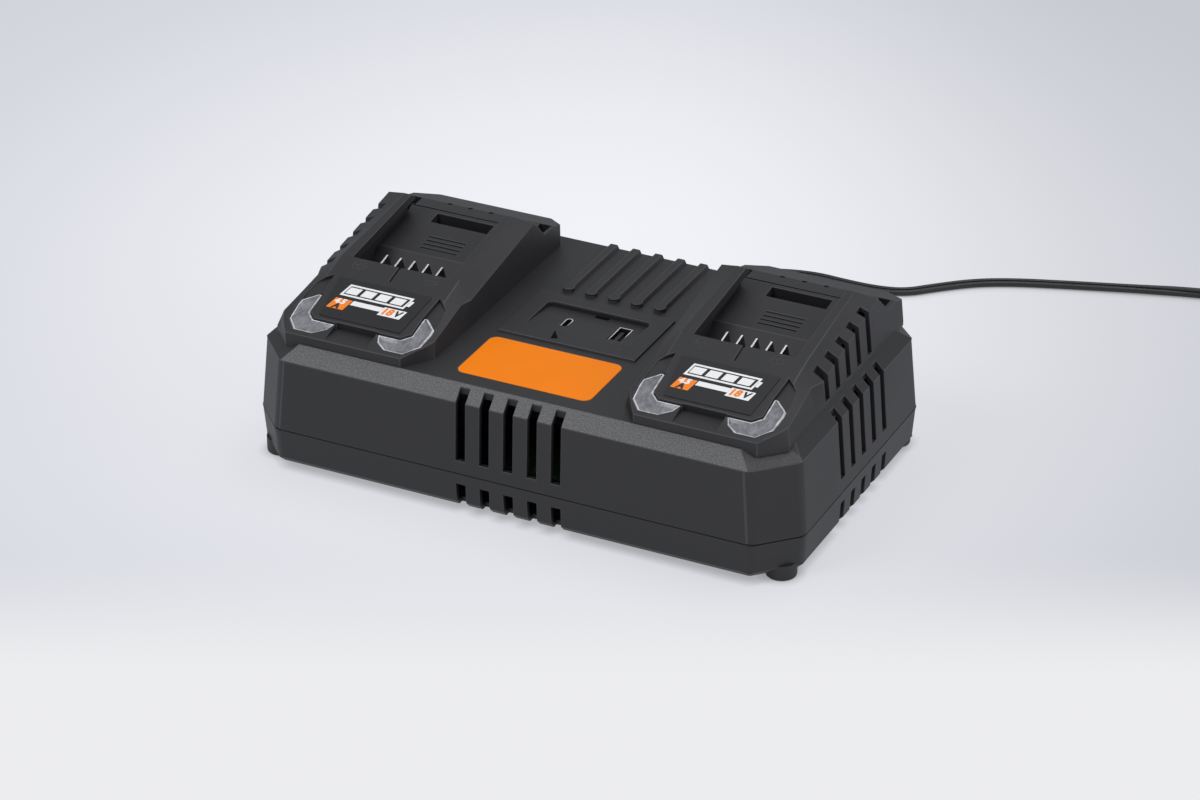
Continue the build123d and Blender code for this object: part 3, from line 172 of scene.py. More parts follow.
class Finish:
    """A material and the nodes that make it."""

    def __init__(self, name):
        self.material = bpy.data.materials.new(name)
        self.material.use_nodes = True
        self.tree = self.material.node_tree
        self.shader = next(n for n in self.tree.nodes if n.type == "BSDF_PRINCIPLED")

    def node(self, kind, settings=None, inputs=None, output=0):
        """Adds a node: its settings first, then its socket values and links."""
        made = self.tree.nodes.new(kind)
        for key, value in (settings or {}).items():
            setattr(made, key, value)
        for key, value in (inputs or {}).items():
            self.put(made.inputs[key], value)
        return Number(self, made.outputs[output])

    def put(self, socket, value):
        """Links a socket to a value that has a node, or sets it."""
        if isinstance(value, Number):
            self.tree.links.new(value.socket, socket)
        elif socket.type == "RGBA" and len(value) == 3:
            socket.default_value = (*value, 1.0)
        else:
            socket.default_value = value

    def set(self, **values):
        """Sets the shader's own sockets; an underscore stands for a space."""
        for key, value in values.items():
            self.put(self.shader.inputs[key.replace("_", " ")], value)

    def place(self):
        """Object coordinates, in metres."""
        return self.node("ShaderNodeTexCoord", output="Object")

    def axes(self, vector):
        """The three numbers of a vector."""
        split = self.tree.nodes.new("ShaderNodeSeparateXYZ")
        self.put(split.inputs[0], vector)
        return [Number(self, socket) for socket in split.outputs]

    def noise(self, size, detail=3.0, rough=0.5, at=None):
        """Noise from 0 to 1 with features about this size in metres."""
        return self.node(
            "ShaderNodeTexNoise",
            inputs={
                "Vector": at or self.place(),
                "Scale": 1.0 / size,
                "Detail": detail,
                "Roughness": rough,
            },
        )

    def stretched(self, x, y, z):
        """Object coordinates, scaled on each axis."""
        return self.node(
            "ShaderNodeMapping", inputs={"Vector": self.place(), "Scale": (x, y, z)}
        )

    def mix(self, factor, first, second):
        """A colour between two colours."""
        return self.node(
            "ShaderNodeMix",
            {"data_type": "RGBA"},
            {"Factor": factor, 6: first, 7: second},
            output=2,
        )

    def bump(self, height, strength, distance):
        """A normal for relief: height 1 stands out by the distance, in metres."""
        inputs = {"Height": height, "Strength": strength, "Distance": distance}
        return self.node("ShaderNodeBump", inputs=inputs)


def housing_plastic(settings, edges=False):
    """Charcoal plastic with a fine moulded grain, coarser on the front bevel.

    The rounded edges are a little smoother and lighter, a painted highlight, and the platform's
    front step is painted lighter, a painted highlight on a face in shade.
    """
    f = Finish("housing_edge_highlight" if edges else "housing_plastic")
    x, y, z = f.axes(f.place())
    facing = f.axes(f.node("ShaderNodeNewGeometry", output="True Normal"))
    slope = facing[2].step(0.45, 0.55) * facing[2].step(0.93, 0.86)
    band = z.step((BEND_Z + 0.1) * MM, (BEND_Z + 0.3) * MM) * z.step(
        (TOP_Z + 0.1) * MM, (TOP_Z - 0.1) * MM)
    band = band * y.step((BAND_BACK_Y + 0.3) * MM, (BAND_BACK_Y - 0.3) * MM) * slope
    band = band * facing[0].step(-0.3, -0.15) * (1 - facing[0].step(0.15, 0.3) * 0.65)
    cloud = f.noise(30 * MM, 2.0)
    grain = f.noise(settings.grain_size * 0.4, 4.0, 0.65)
    coarse = f.noise(settings.grain_size, 2.0, 0.7)
    # Rounded edges are lightened by this lift: a painted highlight.
    lift = settings.edge_highlight_lift if edges else 1.0
    ground = [c * lift for c in settings.plastic_color]
    plain = f.mix(cloud, [c * 0.92 for c in ground], [c * 1.08 for c in ground])
    plain = f.mix(grain.step(0.3, 0.75) * 0.25, plain, [c * lift for c in settings.sheen_color])
    # Painted highlight: the platform's front step, which lies in shade, is painted lighter.
    riser_highlight = z.step((TOP_Z + 0.02) * MM, (TOP_Z + 0.1) * MM) * z.step(
        (TOP_Z + PLATFORM_RISE + 0.02) * MM, (TOP_Z + PLATFORM_RISE - 0.05) * MM)
    riser_highlight = riser_highlight * abs(x).step(34.3 * MM, 34.2 * MM)
    riser_highlight = riser_highlight * facing[1].step(-0.4, -0.7)
    plain = f.mix(riser_highlight, plain, [c * 1.35 for c in settings.sheen_color])
    rough_band = f.mix(coarse.step(0.36, 0.68), settings.band_color, settings.sparkle_color)
    # Painted shade: the parting groove between the halves is painted near black.
    joint = z.step((SEAM_Z - SEAM_FADE) * MM, (SEAM_Z - SEAM_HALF) * MM) * z.step(
        (SEAM_Z + SEAM_FADE) * MM, (SEAM_Z + SEAM_HALF) * MM)
    f.set(
        Base_Color=f.mix(joint, f.mix(band, plain, rough_band), (0.002, 0.002, 0.002)),
        Roughness=0.47 - 0.06 * edges + cloud * 0.08 + grain * 0.06 + band * 0.12,
        Normal=f.bump(grain * (1 - band) + coarse * band * 2.0, 0.35, 0.1 * MM),
        IOR=1.46,
    )
    return f.material


def plain_plastic(name, color, rough, grain=0.3 * MM, strength=0.25):
    """Moulded plastic with a fine grain and slight shade differences."""
    f = Finish(name)
    cloud, fine = f.noise(9 * MM, 2.0), f.noise(grain, 3.0)
    f.set(
        Base_Color=f.mix(cloud, [c * 0.85 for c in color], [c * 1.12 for c in color]),
        Roughness=rough - 0.05 + cloud * 0.05 + fine * 0.06,
        Normal=f.bump(fine, strength, 0.05 * MM),
    )
    return f.material


def bright_metal(name, color, rough, along=(1.0, 1.0, 1.0)):
    """Metal with fine lines from rolling or plating and a few dull spots."""
    f = Finish(name)
    lines = f.noise(0.25 * MM, 2.0, at=f.stretched(*along))
    spots = f.noise(2.2 * MM, 3.0)
    f.set(
        Base_Color=f.mix(spots.step(0.4, 0.8), color, [c * 0.78 for c in color]),
        Metallic=1.0,
        Roughness=rough + lines * 0.12 + spots * 0.08,
        Normal=f.bump(lines, 0.15, 0.02 * MM),
    )
    return f.material


def socket_metal(color):
    """Stamped socket shell: its rim is bright, its walls are painted dark as the shade in the
    mouth.
    """
    f = Finish("socket_shell")
    rim = f.axes(f.node("ShaderNodeNewGeometry", output="True Normal"))[2].step(0.5, 0.7)
    lines = f.noise(0.25 * MM, 2.0, at=f.stretched(1.0, 1.0, 0.15))
    f.set(
        Base_Color=f.mix(rim, [c * 0.12 for c in color], color),
        Metallic=0.9 - rim * 0.5,
        Roughness=0.28 + lines * 0.12,
        Normal=f.bump(lines, 0.15, 0.02 * MM),
    )
    return f.material


def printed_film(name, color, rough, coat, shine=0.5):
    """Printed polyester film: an even colour with a hint of orange peel."""
    f = Finish(name)
    peel, cloud = f.noise(0.7 * MM, 2.0), f.noise(14 * MM, 2.0)
    f.set(
        Base_Color=f.mix(cloud, [c * 0.96 for c in color], [min(1.0, c * 1.03) for c in color]),
        Roughness=rough + peel * 0.08,
        Normal=f.bump(peel, 0.08, 0.03 * MM),
        Coat_Weight=coat,
        Coat_Roughness=0.2,
        Specular_IOR_Level=shine,
    )
    return f.material


def milky_guide(name, color, rough):
    """Milky moulded light guide, streaked like ground glass."""
    f = Finish(name)
    streaks = f.noise(1.1 * MM, 3.0, 0.6, at=f.stretched(1.0, 0.35, 1.0))
    cloud = f.noise(5 * MM, 3.0)
    f.set(
        Base_Color=f.mix(streaks.step(0.25, 0.75) * 0.6 + cloud.step(0.3, 0.7) * 0.4,
                         [c * 0.6 for c in color], [min(1.0, c * 1.6) for c in color]),
        Roughness=rough + cloud * 0.1,
        Normal=f.bump(streaks, 0.25, 0.12 * MM),
        Coat_Weight=0.3,
        Coat_Roughness=0.15,
    )
    return f.material


def circuit_board(name):
    """Green solder mask with faint tracks under it."""
    f = Finish(name)
    tracks = f.node("ShaderNodeTexBrick", inputs={
        "Vector": f.place(), "Scale": 90.0, "Mortar Size": 0.03, "Color1": (0, 0, 0),
        "Color2": (0.15, 0.15, 0.15), "Mortar": (1, 1, 1)}, output=1)
    dust = f.noise(1.5 * MM, 3.0)
    f.set(
        Base_Color=f.mix(tracks, (0.006, 0.035, 0.016), (0.012, 0.06, 0.028)),
        Roughness=0.3 + dust * 0.15,
        Normal=f.bump(tracks, 0.3, 0.03 * MM),
        Coat_Weight=0.4,
    )
    return f.material


def wound_wire(name, color, gap_shade_color, size):
    """Close turns of wire or tape, with painted shade in the gaps between the turns."""
    f = Finish(name)
    turns = f.node("ShaderNodeTexWave", {"bands_direction": "Z", "wave_profile": "SIN"},
                   {"Vector": f.place(), "Scale": 1 / (size * 6.28), "Distortion": 0.4})
    f.set(
        Base_Color=f.mix(turns, gap_shade_color, color),
        Roughness=0.35 + turns * 0.1,
        Normal=f.bump(turns, 0.7, 0.2 * MM),
    )
    return f.material


# Where the sleeves of the plug's pins end, in millimetres
PIN_SLEEVE_Y, PIN_BARE_Y = 113.2, 113.0


def pin_metal():
    """Plug pins: black sleeve at the body, bare nickel at the tip."""
    f = Finish("plug_pin")
    y = f.axes(f.place())[1]
    bare = y.step(PIN_SLEEVE_Y * MM, PIN_BARE_Y * MM)
    scuff = f.noise(0.3 * MM, 3.0, at=f.stretched(1.0, 0.1, 1.0))
    f.set(
        Base_Color=f.mix(bare, (0.012, 0.012, 0.013), (0.72, 0.70, 0.66)),
        Metallic=bare,
        Roughness=0.5 - bare * 0.28 + scuff * 0.12,
        Normal=f.bump(bare * -1.0 + scuff * 0.1, 0.4, 0.05 * MM),
    )
    return f.material


def cord_sheath(color):
    """Flexible PVC with fine flow lines along the cord."""
    f = Finish("cord_sheath")
    fine, cloud = f.noise(0.4 * MM, 3.0), f.noise(20 * MM, 2.0)
    f.set(
        Base_Color=f.mix(cloud, [c * 0.85 for c in color], [c * 1.2 for c in color]),
        Roughness=0.34 + cloud * 0.08 + fine * 0.06,
        Normal=f.bump(fine, 0.12, 0.03 * MM),
    )
    return f.material


# ---------------------------------------------------------------- modelling helpers


def select_only(*pieces):
    """Selects these objects and nothing else; the first one is active."""
    for other in list(bpy.context.selected_objects):
        other.select_set(False)
    for piece in pieces:
        piece.select_set(True)
    bpy.context.view_layer.objects.active = pieces[0]


def clear_selection():
    """Nothing is selected or active."""
    for other in list(bpy.context.selected_objects):
        other.select_set(False)
    bpy.context.view_layer.objects.active = None


def finish_piece(piece, materials, slot, body="charger", replaced=()):
    """Applies the piece's place, gives it its materials and ties it to its body."""
    select_only(piece)
    bpy.ops.object.transform_apply(location=True, rotation=True, scale=True)
    slots = piece.data.materials
    for i, material in enumerate(materials):
        if i < len(slots):
            slots[i] = material
        else:
            slots.append(material)
    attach(piece, body)
    if replaced:
        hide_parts(*replaced)
    return piece


def paint(material, *nodes):
    """Gives CAD nodes a material through their objects' own slots."""
    for name in nodes:
        node = NODES[name]
        if not node.material_slots:
            raise RuntimeError(f"{name} has no material slot")
        for slot in node.material_slots:
            slot.link = "OBJECT"
            slot.material = material


def merged_copy(name, piece_name):
    """A new piece with a CAD node's shape, its triangles merged into flat faces."""
    piece = NODES[name].copy()
    piece.data = NODES[name].data.copy()
    piece.name = piece.data.name = piece_name
    piece.parent = None
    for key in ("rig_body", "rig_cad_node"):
        if key in piece:
            del piece[key]
    bpy.context.scene.collection.objects.link(piece)
    piece.data.materials.clear()
    for _ in range(2):
        piece.data.materials.append(None)
    select_only(piece)
    bpy.ops.mesh.customdata_custom_splitnormals_clear()
    bpy.ops.object.mode_set(mode="EDIT")
    bpy.ops.mesh.select_all(action="SELECT")
    bpy.ops.mesh.remove_doubles(threshold=SAME_POINT * MM)
    bpy.ops.mesh.dissolve_limited(angle_limit=SAME_FACE)
    bpy.ops.object.mode_set(mode="OBJECT")
    return piece


def apply_modifier(piece, kind, **settings):
    """Adds a modifier and applies it."""
    select_only(piece)
    modifier = piece.modifiers.new(kind.lower(), kind)
    for key, value in settings.items():
        setattr(modifier, key, value)
    bpy.ops.object.modifier_apply(modifier=modifier.name)


def round_edges(piece, width_at, widest, segments=2):
    """Rounds outer edges by the width, in millimetres, that width_at gives for their ends.

    The rounded faces take the piece's second material.
    """
    shape = bmesh.new()
    shape.from_mesh(piece.data)
    share = shape.edges.layers.float.new("bevel_weight_edge")
    for edge in shape.edges:
        if edge.is_manifold and edge.is_convex and edge.calc_face_angle() > SHARP_ANGLE:
            edge[share] = width_at(*[end.co / MM for end in edge.verts]) / widest
    shape.to_mesh(piece.data)
    shape.free()
    apply_modifier(piece, "BEVEL", width=widest * MM, segments=segments, limit_method="WEIGHT",
                   use_clamp_overlap=False, miter_outer="MITER_SHARP", harden_normals=True,
                   material=1)


def select_faces(piece, wanted):
    """Goes to edit mode with only the faces selected that wanted(centre in mm, normal) takes."""
    select_only(piece)
    bpy.ops.object.mode_set(mode="EDIT")
    bpy.ops.mesh.select_mode(type="FACE")
    bpy.ops.mesh.select_all(action="DESELECT")
    shape = bmesh.from_edit_mesh(piece.data)
    for face in shape.faces:
        face.select_set(bool(wanted(face.calc_center_median() / MM, face.normal)))
    bmesh.update_edit_mesh(piece.data)


def join(first, *others):
    """Joins pieces into the first."""
    select_only(first, *others)
    bpy.ops.object.join()
    return first


def on_hood(x, along, lift=0.0):
    """Place on a hood's slope: X to the right, Y up the slope, Z out of it."""
    return (Matrix.Translation(Vector((0.0, HOOD_NOSE_Y, HOOD_NOSE_Z)) * MM)
            @ Matrix.Rotation(HOOD_ANGLE, 4, "X")
            @ Matrix.Translation(Vector((x, along, lift)) * MM))


def printed_patch(name, x, along, wide, high, frame=0.0):
    """A thin slanted patch of print on the slope; a frame leaves only a border that wide."""
    patch = flat_patch(name, wide, high, PRINT_LEAN, frame)
    patch.matrix_world = on_hood(x, along, LABEL_TOP - PRINT_SINK)
    return patch


def flat_patch(name, wide, high, lean=0.0, frame=0.0):
    """A thin patch of print at the origin."""
    clear_selection()
    bpy.ops.mesh.primitive_plane_add(size=1.0)
    patch = bpy.context.object
    patch.name = name
    bpy.ops.object.mode_set(mode="EDIT")
    bpy.ops.mesh.select_all(action="SELECT")
    bpy.ops.transform.resize(value=(wide * MM, high * MM, 1.0))
    shape = bmesh.from_edit_mesh(patch.data)
    for corner in shape.verts:
        corner.select_set(corner.co.y > 0)
    shape.select_flush(True)
    bmesh.update_edit_mesh(patch.data)
    bpy.ops.transform.translate(value=(lean * high * MM, 0.0, 0.0))
    bpy.ops.mesh.select_all(action="SELECT")
    if frame:
        bpy.ops.mesh.inset(thickness=frame * MM)
        bpy.ops.mesh.delete(type="FACE")
        bpy.ops.mesh.select_all(action="SELECT")
    thicken_patch()
    return patch


def thicken_patch():
    """Gives the selected flat faces the print's depth and leaves edit mode."""
    bpy.ops.mesh.extrude_region_move(
        TRANSFORM_OT_translate={"value": (0.0, 0.0, PATCH_DEPTH * MM)})
    bpy.ops.mesh.select_all(action="SELECT")
    bpy.ops.mesh.normals_make_consistent(inside=False)
    bpy.ops.object.mode_set(mode="OBJECT")


def printed_text(name, text, x, along, size):
    """Characters printed on the slope, made a closed mesh."""
    clear_selection()
    bpy.ops.object.text_add()
    words = bpy.context.object
    words.name = name
    words.data.body = text
    words.data.size = size * MM
    words.data.shear = 0.25
    words.data.offset = 0.05 * size * MM
    words.data.resolution_u = 3
    words.data.align_x, words.data.align_y = "CENTER", "CENTER"
    words.data.extrude = TEXT_DEPTH / 2 * MM
    select_only(words)
    bpy.ops.object.convert(target="MESH")
    words = bpy.context.object
    bpy.ops.object.mode_set(mode="EDIT")
    bpy.ops.mesh.select_all(action="SELECT")
    bpy.ops.mesh.remove_doubles(threshold=0.001 * MM)
    bpy.ops.object.mode_set(mode="OBJECT")
    words.matrix_world = on_hood(x, along, LABEL_TOP - PRINT_SINK + TEXT_DEPTH / 2)
    return words


# ---------------------------------------------------------------- settings


def length(name, text, default):
    """A length property in metres, given in millimetres."""
    return FloatProperty(name=name, description=text, default=default * MM, min=0.0,
                         unit="LENGTH", precision=5)


def color(name, text, default):
    """A colour property."""
    return FloatVectorProperty(name=name, description=text, default=default, size=3,
                               min=0.0, max=1.0, subtype="COLOR")


class HousingSettings(bpy.types.PropertyGroup):
    """Sizes and colours of the housing."""

    plastic_color: color("Plastic", "Colour of both housing halves", (0.0162, 0.0162, 0.0182))
    sheen_color: color("Sheen", "Tips of the fine grain", (0.040, 0.040, 0.043))
    band_color: color("Band", "Ground colour of the grained front bevel", (0.074, 0.074, 0.077))
    sparkle_color: color("Sparkle", "Tips of the coarse grain", (0.175, 0.175, 0.18))
    # How much the painted highlight lightens the rounded edges.
    edge_highlight_lift: FloatProperty(name="Edge lift", description="How much lighter rounded edges are",
                             default=2.3, min=1.0)
    grain_size: length("Grain", "Size of the coarse grain", 0.5)


class DockSettings(bpy.types.PropertyGroup):
    """Colours of the pieces in the docks."""

    label_color: color("Label", "Ground of the dock labels", (0.012, 0.012, 0.013))
    print_color: color("Print", "Light print on the labels", (0.86, 0.86, 0.86))
    accent_color: color("Accent", "Accent print on the labels", (0.93, 0.225, 0.0))
    guide_color: color("Light guide", "Milky light guides", (0.175, 0.175, 0.19))
    # The guide rim colour is a painted highlight on the guides' broken edges.
    rim_color: color("Guide rim", "Broken edges of the light guides", (0.54, 0.54, 0.56))
    blade_color: color("Blades", "Plated terminal blades", (0.88, 0.86, 0.82))


class TopSettings(bpy.types.PropertyGroup):
    """Colours between the docks."""

    badge_color: color("Badge", "Centre badge", (0.93, 0.225, 0.0))
    shell_color: color("Socket shells", "Stamped USB shells", (0.80, 0.80, 0.81))


class CordSettings(bpy.types.PropertyGroup):
    """The mains cord."""

    sheath_color: color("Sheath", "Colour of the cord", (0.014, 0.014, 0.015))
    width: length("Width", "Width of the twin cord", 5.0)
    real_length: length("Length", "Length from the strain relief to the plug", 1850.0)
    turns: FloatProperty(name="Turns", description="Turns of the stored coil", default=8.3,
                         min=1.0)
    turn_points: IntProperty(name="Points per turn", description="Route points in a turn",
                             default=16, min=12)


class StageSettings(bpy.types.PropertyGroup):
    """Floor, lamps and camera."""

    # The floor colours paint a pool of light: brightest behind the charger, paler in front,
    # darker away from it.
    far_color: color("Far floor", "Floor away from the charger", (0.66, 0.675, 0.73))
    near_color: color("Near floor", "Floor behind the charger", (0.90, 0.905, 0.94))
    front_color: color("Front floor", "Floor in front of the charger", (0.85, 0.85, 0.86))
    lens: FloatProperty(name="Lens", description="Focal length of the camera", default=120.23,
                        min=10.0, unit="CAMERA")


# ---------------------------------------------------------------- operators


class CHARGER_OT_camera(bpy.types.Operator):
    """Set the camera"""

    bl_idname = "charger.camera"
    bl_label = "Camera"

    def execute(self, context):
        data = bpy.data.cameras.new("camera")
        data.lens = context.scene.charger_stage.lens
        data.sensor_width = 36.0
        data.clip_start, data.clip_end = 0.05, 50.0
        camera = bpy.data.objects.new("camera", data)
        context.scene.collection.objects.link(camera)
        camera.location = CAMERA_PLACE
        camera.rotation_euler = (math.radians(90 - VIEW_DROP), 0.0, VIEW_TURN)
        context.scene.camera = camera
        return {"FINISHED"}


# The cord's route after its strain relief, in millimetres
CORD_ROUTE = [
    (-38.0, 105.65, 16.85), (-38.0, 126.0, 16.85), (-34.0, 149.0, 7.2), (-24.0, 168.0, 2.6),
    (0.0, 189.0, 1.95), (24.0, 197.6, 1.85), (44.8, 196.4, 1.85), (60.8, 196.9, 1.85),
    (73.8, 200.6, 1.85), (84.4, 211.2, 1.85), (100.0, 224.8, 1.85), (116.8, 233.6, 1.85),
    (139.8, 242.0, 1.85), (174.8, 253.2, 2.2), (203.0, 261.5, 2.65), (236.0, 268.0, 2.75)]
TAIL_ROUTE = [
    (312.2, 226.0, 5.8), (312.8, 214.0, 3.4), (314.0, 202.0, 3.0), (315.6, 190.0, 5.6),
    (316.0, 181.0, 6.85), (316.0, 173.0, 6.85)]
COIL_CENTER = (274.7, 237.2)
COIL_START = math.radians(108)
COIL_WIDE, COIL_NARROW, COIL_PITCH = 37.0, 18.0, 4.75
COIL_Z, COIL_LIFT = 2.5, 5.0
CLIMB_START, CLIMB_TURNS, OUTER_TURNS = 3.85, 0.6, 4
FLAT_TILT, COIL_TILT = 14.0, 62.0
STRAND_RADIUS, STRAND_SHIFT, STRAND_STEPS = 0.29, 0.21, 10


def coil_route(turns, per_turn):
    """Turns inwards on the floor, a climb, and turns outwards on top of them."""
    count = round(turns * per_turn)
    swell = 1 / (0.75 + 0.25 * math.cos(2 * math.pi / per_turn))
    points = []
    for i in range(count + 1):
        turn = turns * i / count
        inwards = COIL_WIDE - COIL_PITCH * turn
        outwards = COIL_NARROW + COIL_PITCH * (turn - (turns - OUTER_TURNS))
        radius = max(COIL_NARROW, inwards if turn < turns / 2 else outwards)
        share = min(1.0, max(0.0, (turn - CLIMB_START) / CLIMB_TURNS))
        lift = COIL_LIFT * share * share * (3 - 2 * share)
        angle = COIL_START - 2 * math.pi * turn
        points.append((COIL_CENTER[0] + radius * swell * math.cos(angle),
                       COIL_CENTER[1] + radius * swell * math.sin(angle), COIL_Z + lift))
    return points


class CHARGER_OT_cord(bpy.types.Operator):
    """Lay the twin mains cord and its stored coil"""

    bl_idname = "charger.cord"
    bl_label = "Mains cord"

    def execute(self, context):
        settings = context.scene.charger_cord
        curve = bpy.data.curves.new("mains_flex", "CURVE")
        curve.dimensions = "3D"
        curve.twist_mode = "Z_UP"
        curve.bevel_mode = "OBJECT"
        curve.bevel_object = self.outline(settings.width)
        curve.use_fill_caps = True
        curve.resolution_u = 6
        route = CORD_ROUTE + coil_route(settings.turns, settings.turn_points) + TAIL_ROUTE
        spline = curve.splines.new("NURBS")
        spline.points.add(len(route) - 1)
        for i, (point, place) in enumerate(zip(spline.points, route)):
            point.co = (*[value * MM for value in place], 1.0)
            point.tilt = math.radians(FLAT_TILT if i < len(CORD_ROUTE) - 2 else COIL_TILT)
        spline.order_u = 3
        spline.use_endpoint_u = True
        cord = bpy.data.objects.new("mains_flex", curve)
        context.scene.collection.objects.link(cord)
        curve.materials.append(cord_sheath(settings.sheath_color))
        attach(cord, "charger")
        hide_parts("mains_cord", "mains_cord_coil", "mains_cord_tail")
        return {"FINISHED"}

    def outline(self, width):
        """Outline of the twin cord: two round strands that meet in the middle."""
        radius, shift = STRAND_RADIUS * width, STRAND_SHIFT * width
        curve = bpy.data.curves.new("cord_outline", "CURVE")
        curve.dimensions = "2D"
        ring = curve.splines.new("POLY")
        half_gap = math.acos(shift / radius)
        points = []
        for side, turn in ((1, 0.0), (-1, math.pi)):
            for i in range(STRAND_STEPS + 1):
                angle = (half_gap - math.pi) + 2 * (math.pi - half_gap) * i / STRAND_STEPS + turn
                points.append((side * shift + radius * math.cos(angle),
                               radius * math.sin(angle)))
        ring.points.add(len(points) - 1)
        for point, (x, y) in zip(ring.points, points):
            point.co = (x, y, 0.0, 1.0)
        ring.use_cyclic_u = True
        return bpy.data.objects.new("cord_outline", curve)


def from_corner(place):
    """Distance in plan from the nearest upright edge of the housing."""
    return min((Vector((abs(place.x), abs(place.y))) - Vector(corner)).length
               for corner in ((HALF_X, HALF_Y - CORNER_CUT_Y), (HALF_X - CORNER_CUT_X, HALF_Y)))


def upright(first, second):
    """True for an edge that stands nearly straight up."""
    return abs((second - first).normalized().z) > 0.9


def housing_edge_width(first, second):
    """Rounding of a housing edge: wide at the upright corners, fine elsewhere."""
    at_corner = from_corner((first + second) / 2) < CORNER_REACH
    return CORNER_ROUND if upright(first, second) and at_corner else EDGE_ROUND


def foot_edge_width(first, second):
    """Rounding of a foot's edge: only round the tread."""
    return FOOT_ROUND if (first.z + second.z) / 2 < 1.0 else 0.0


def label_edge_width(first, second):
    """Rounding of a label plate's edge: wide at its upright corners."""
    return LABEL_CORNER_ROUND if upright(first, second) else LABEL_EDGE_ROUND


class CHARGER_OT_housing(bpy.types.Operator):
    """Round the edges of both housing halves and finish them with the feet"""

    bl_idname = "charger.housing"
    bl_label = "Housing"

    def execute(self, context):
        settings = context.scene.charger_housing
        # The second material paints a highlight on the rounded edges.
        plastic = [housing_plastic(settings), housing_plastic(settings, edges=True)]
        for name in ("upper", "lower"):
            shell = merged_copy(f"{name}_housing", f"{name}_shell")
            round_edges(shell, housing_edge_width, CORNER_ROUND, 4)
            for face in shell.data.polygons:
                near = from_corner(face.center / MM) < CORNER_FACES_REACH
                if near and abs(face.normal.z) < 0.5:
                    face.material_index = 0
            finish_piece(shell, plastic, "housing", replaced=[f"{name}_housing"])
        feet = merged_copy("rubber_feet", "round_feet")
        round_edges(feet, foot_edge_width, FOOT_ROUND, 3)
        rubber = plain_plastic("foot_rubber", (0.02, 0.02, 0.02), 0.62, 0.5 * MM, 0.4)
        finish_piece(feet, [rubber, rubber], "rubber", replaced=["rubber_feet"])
        return {"FINISHED"}


def battery_print():
    """A battery sign of slanted bars in a frame with its terminal nub."""
    row = 33.4
    sign = printed_patch("battery_sign", -1.6, row, 32.4, 7.8, 1.05)
    parts = [printed_patch("terminal", 15.7, row, 1.9, 3.6)]
    for i in range(4):
        parts.append(printed_patch("bar", -12.9 + 7.55 * i, row, 5.9, 4.3))
    return join(sign, *parts)


class CHARGER_OT_docks(bpy.types.Operator):
    """Finish the pieces in both docks and print their labels"""

    bl_idname = "charger.docks"
    bl_label = "Docks"

    def execute(self, context):
        settings = context.scene.charger_docks
        film = printed_film("label_film", settings.label_color, 0.42, 0.0, 0.4)
        # The second guide material is a lighter copy: a painted highlight on the broken edges.
        guides = [milky_guide("light_guide", settings.guide_color, 0.26),
                  milky_guide("guide_rim_highlight", settings.rim_color, 0.3)]
        # The blades' side faces take a darkened copy of the nickel, painted shade; the other
        # faces keep the bright nickel.
        blade = [bright_metal("blade_side_shade", [c * 0.16 for c in settings.blade_color], 0.3,
                              (1.0, 0.08, 1.0)),
                 bright_metal("blade_edge", settings.blade_color, 0.34, (1.0, 0.08, 1.0))]
        block = plain_plastic("terminal_plastic", (0.014, 0.014, 0.015), 0.4)
        for side, _ in SIDES:
            plate = merged_copy(f"{side}_dock_label", f"{side}_label_plate")
            round_edges(plate, label_edge_width, LABEL_CORNER_ROUND, 3)
            finish_piece(plate, [film, film], "label_black", replaced=[f"{side}_dock_label"])
            for place in ("outer", "inner"):
                self.shape_guide(f"{side}_{place}", guides)
            blades = merged_copy(f"{side}_terminal_blades", f"{side}_blades")
            round_edges(blades, lambda first, second: BLADE_ROUND, BLADE_ROUND, 2)
            for face in blades.data.polygons:
                face.material_index = int(abs(face.normal.x) < 0.8)
            finish_piece(blades, blade, "nickel", replaced=[f"{side}_terminal_blades"])
            paint(block, f"{side}_terminal_block")
        self.print_labels(settings)
        return {"FINISHED"}

    def shape_guide(self, name, finishes):
        """A light guide, hollowed like a gutter inside its broken edge, which carries a painted
        highlight.
        """
        lens = merged_copy(f"{name}_light_guide", f"{name}_lens")
        select_faces(lens, lambda middle, normal: normal.z > 0.93)
        bpy.ops.mesh.inset(thickness=GUIDE_RIM * MM, depth=0.0)
        bpy.ops.object.mode_set(mode="OBJECT")
        for face in lens.data.polygons:
            face.material_index = int(face.normal.z > 0.3 and not face.select)
        bpy.ops.object.mode_set(mode="EDIT")
        bpy.ops.mesh.inset(thickness=GUIDE_SLOPE * MM, depth=-GUIDE_DEPTH * MM)
        bpy.ops.object.mode_set(mode="OBJECT")
        select_only(lens)
        bpy.ops.object.shade_smooth_by_angle(angle=SMOOTH_ANGLE)
        finish_piece(lens, finishes, "light_guide", replaced=[f"{name}_light_guide"])

    def print_labels(self, settings):
        """Light, accent and dark print on both labels."""
        light = join(battery_print(),
                     printed_patch("strip", -2.3, 26.1, 15.4, 2.9),
                     printed_patch("chip", 10.4, 25.4, 11.2, 5.6),
                     printed_text("rating_number", "4.5", -15.5, 25.6, 4.3))
        accent = join(printed_patch("rating_patch", -15.8, 24.0, 8.4, 7.0),
                      printed_text("voltage_number", "18", 8.3, 25.4, 5.6))
        dark = join(printed_text("rating_unit", "A", -16.0, 22.3, 4.8),
                    printed_text("voltage_unit", "V", 13.6, 25.4, 5.0))
        inks = {"light": settings.print_color, "accent": settings.accent_color,
                "dark": settings.label_color}
        for piece, ink in ((light, "light"), (accent, "accent"), (dark, "dark")):
            finish = printed_film(f"{ink}_ink", inks[ink], 0.36, 0.1)
            select_only(piece)
            bpy.ops.object.transform_apply(location=True, rotation=True, scale=True)
            for side, sign in SIDES:
                copy = piece.copy()
                copy.data = piece.data.copy()
                copy.name = f"{side}_label_{ink}_print"
                bpy.context.scene.collection.objects.link(copy)
                copy.location.x = sign * DOCK_X * MM
                finish_piece(copy, [finish],
                             "badge_orange" if ink == "accent" else "label_black")
            bpy.data.objects.remove(piece)


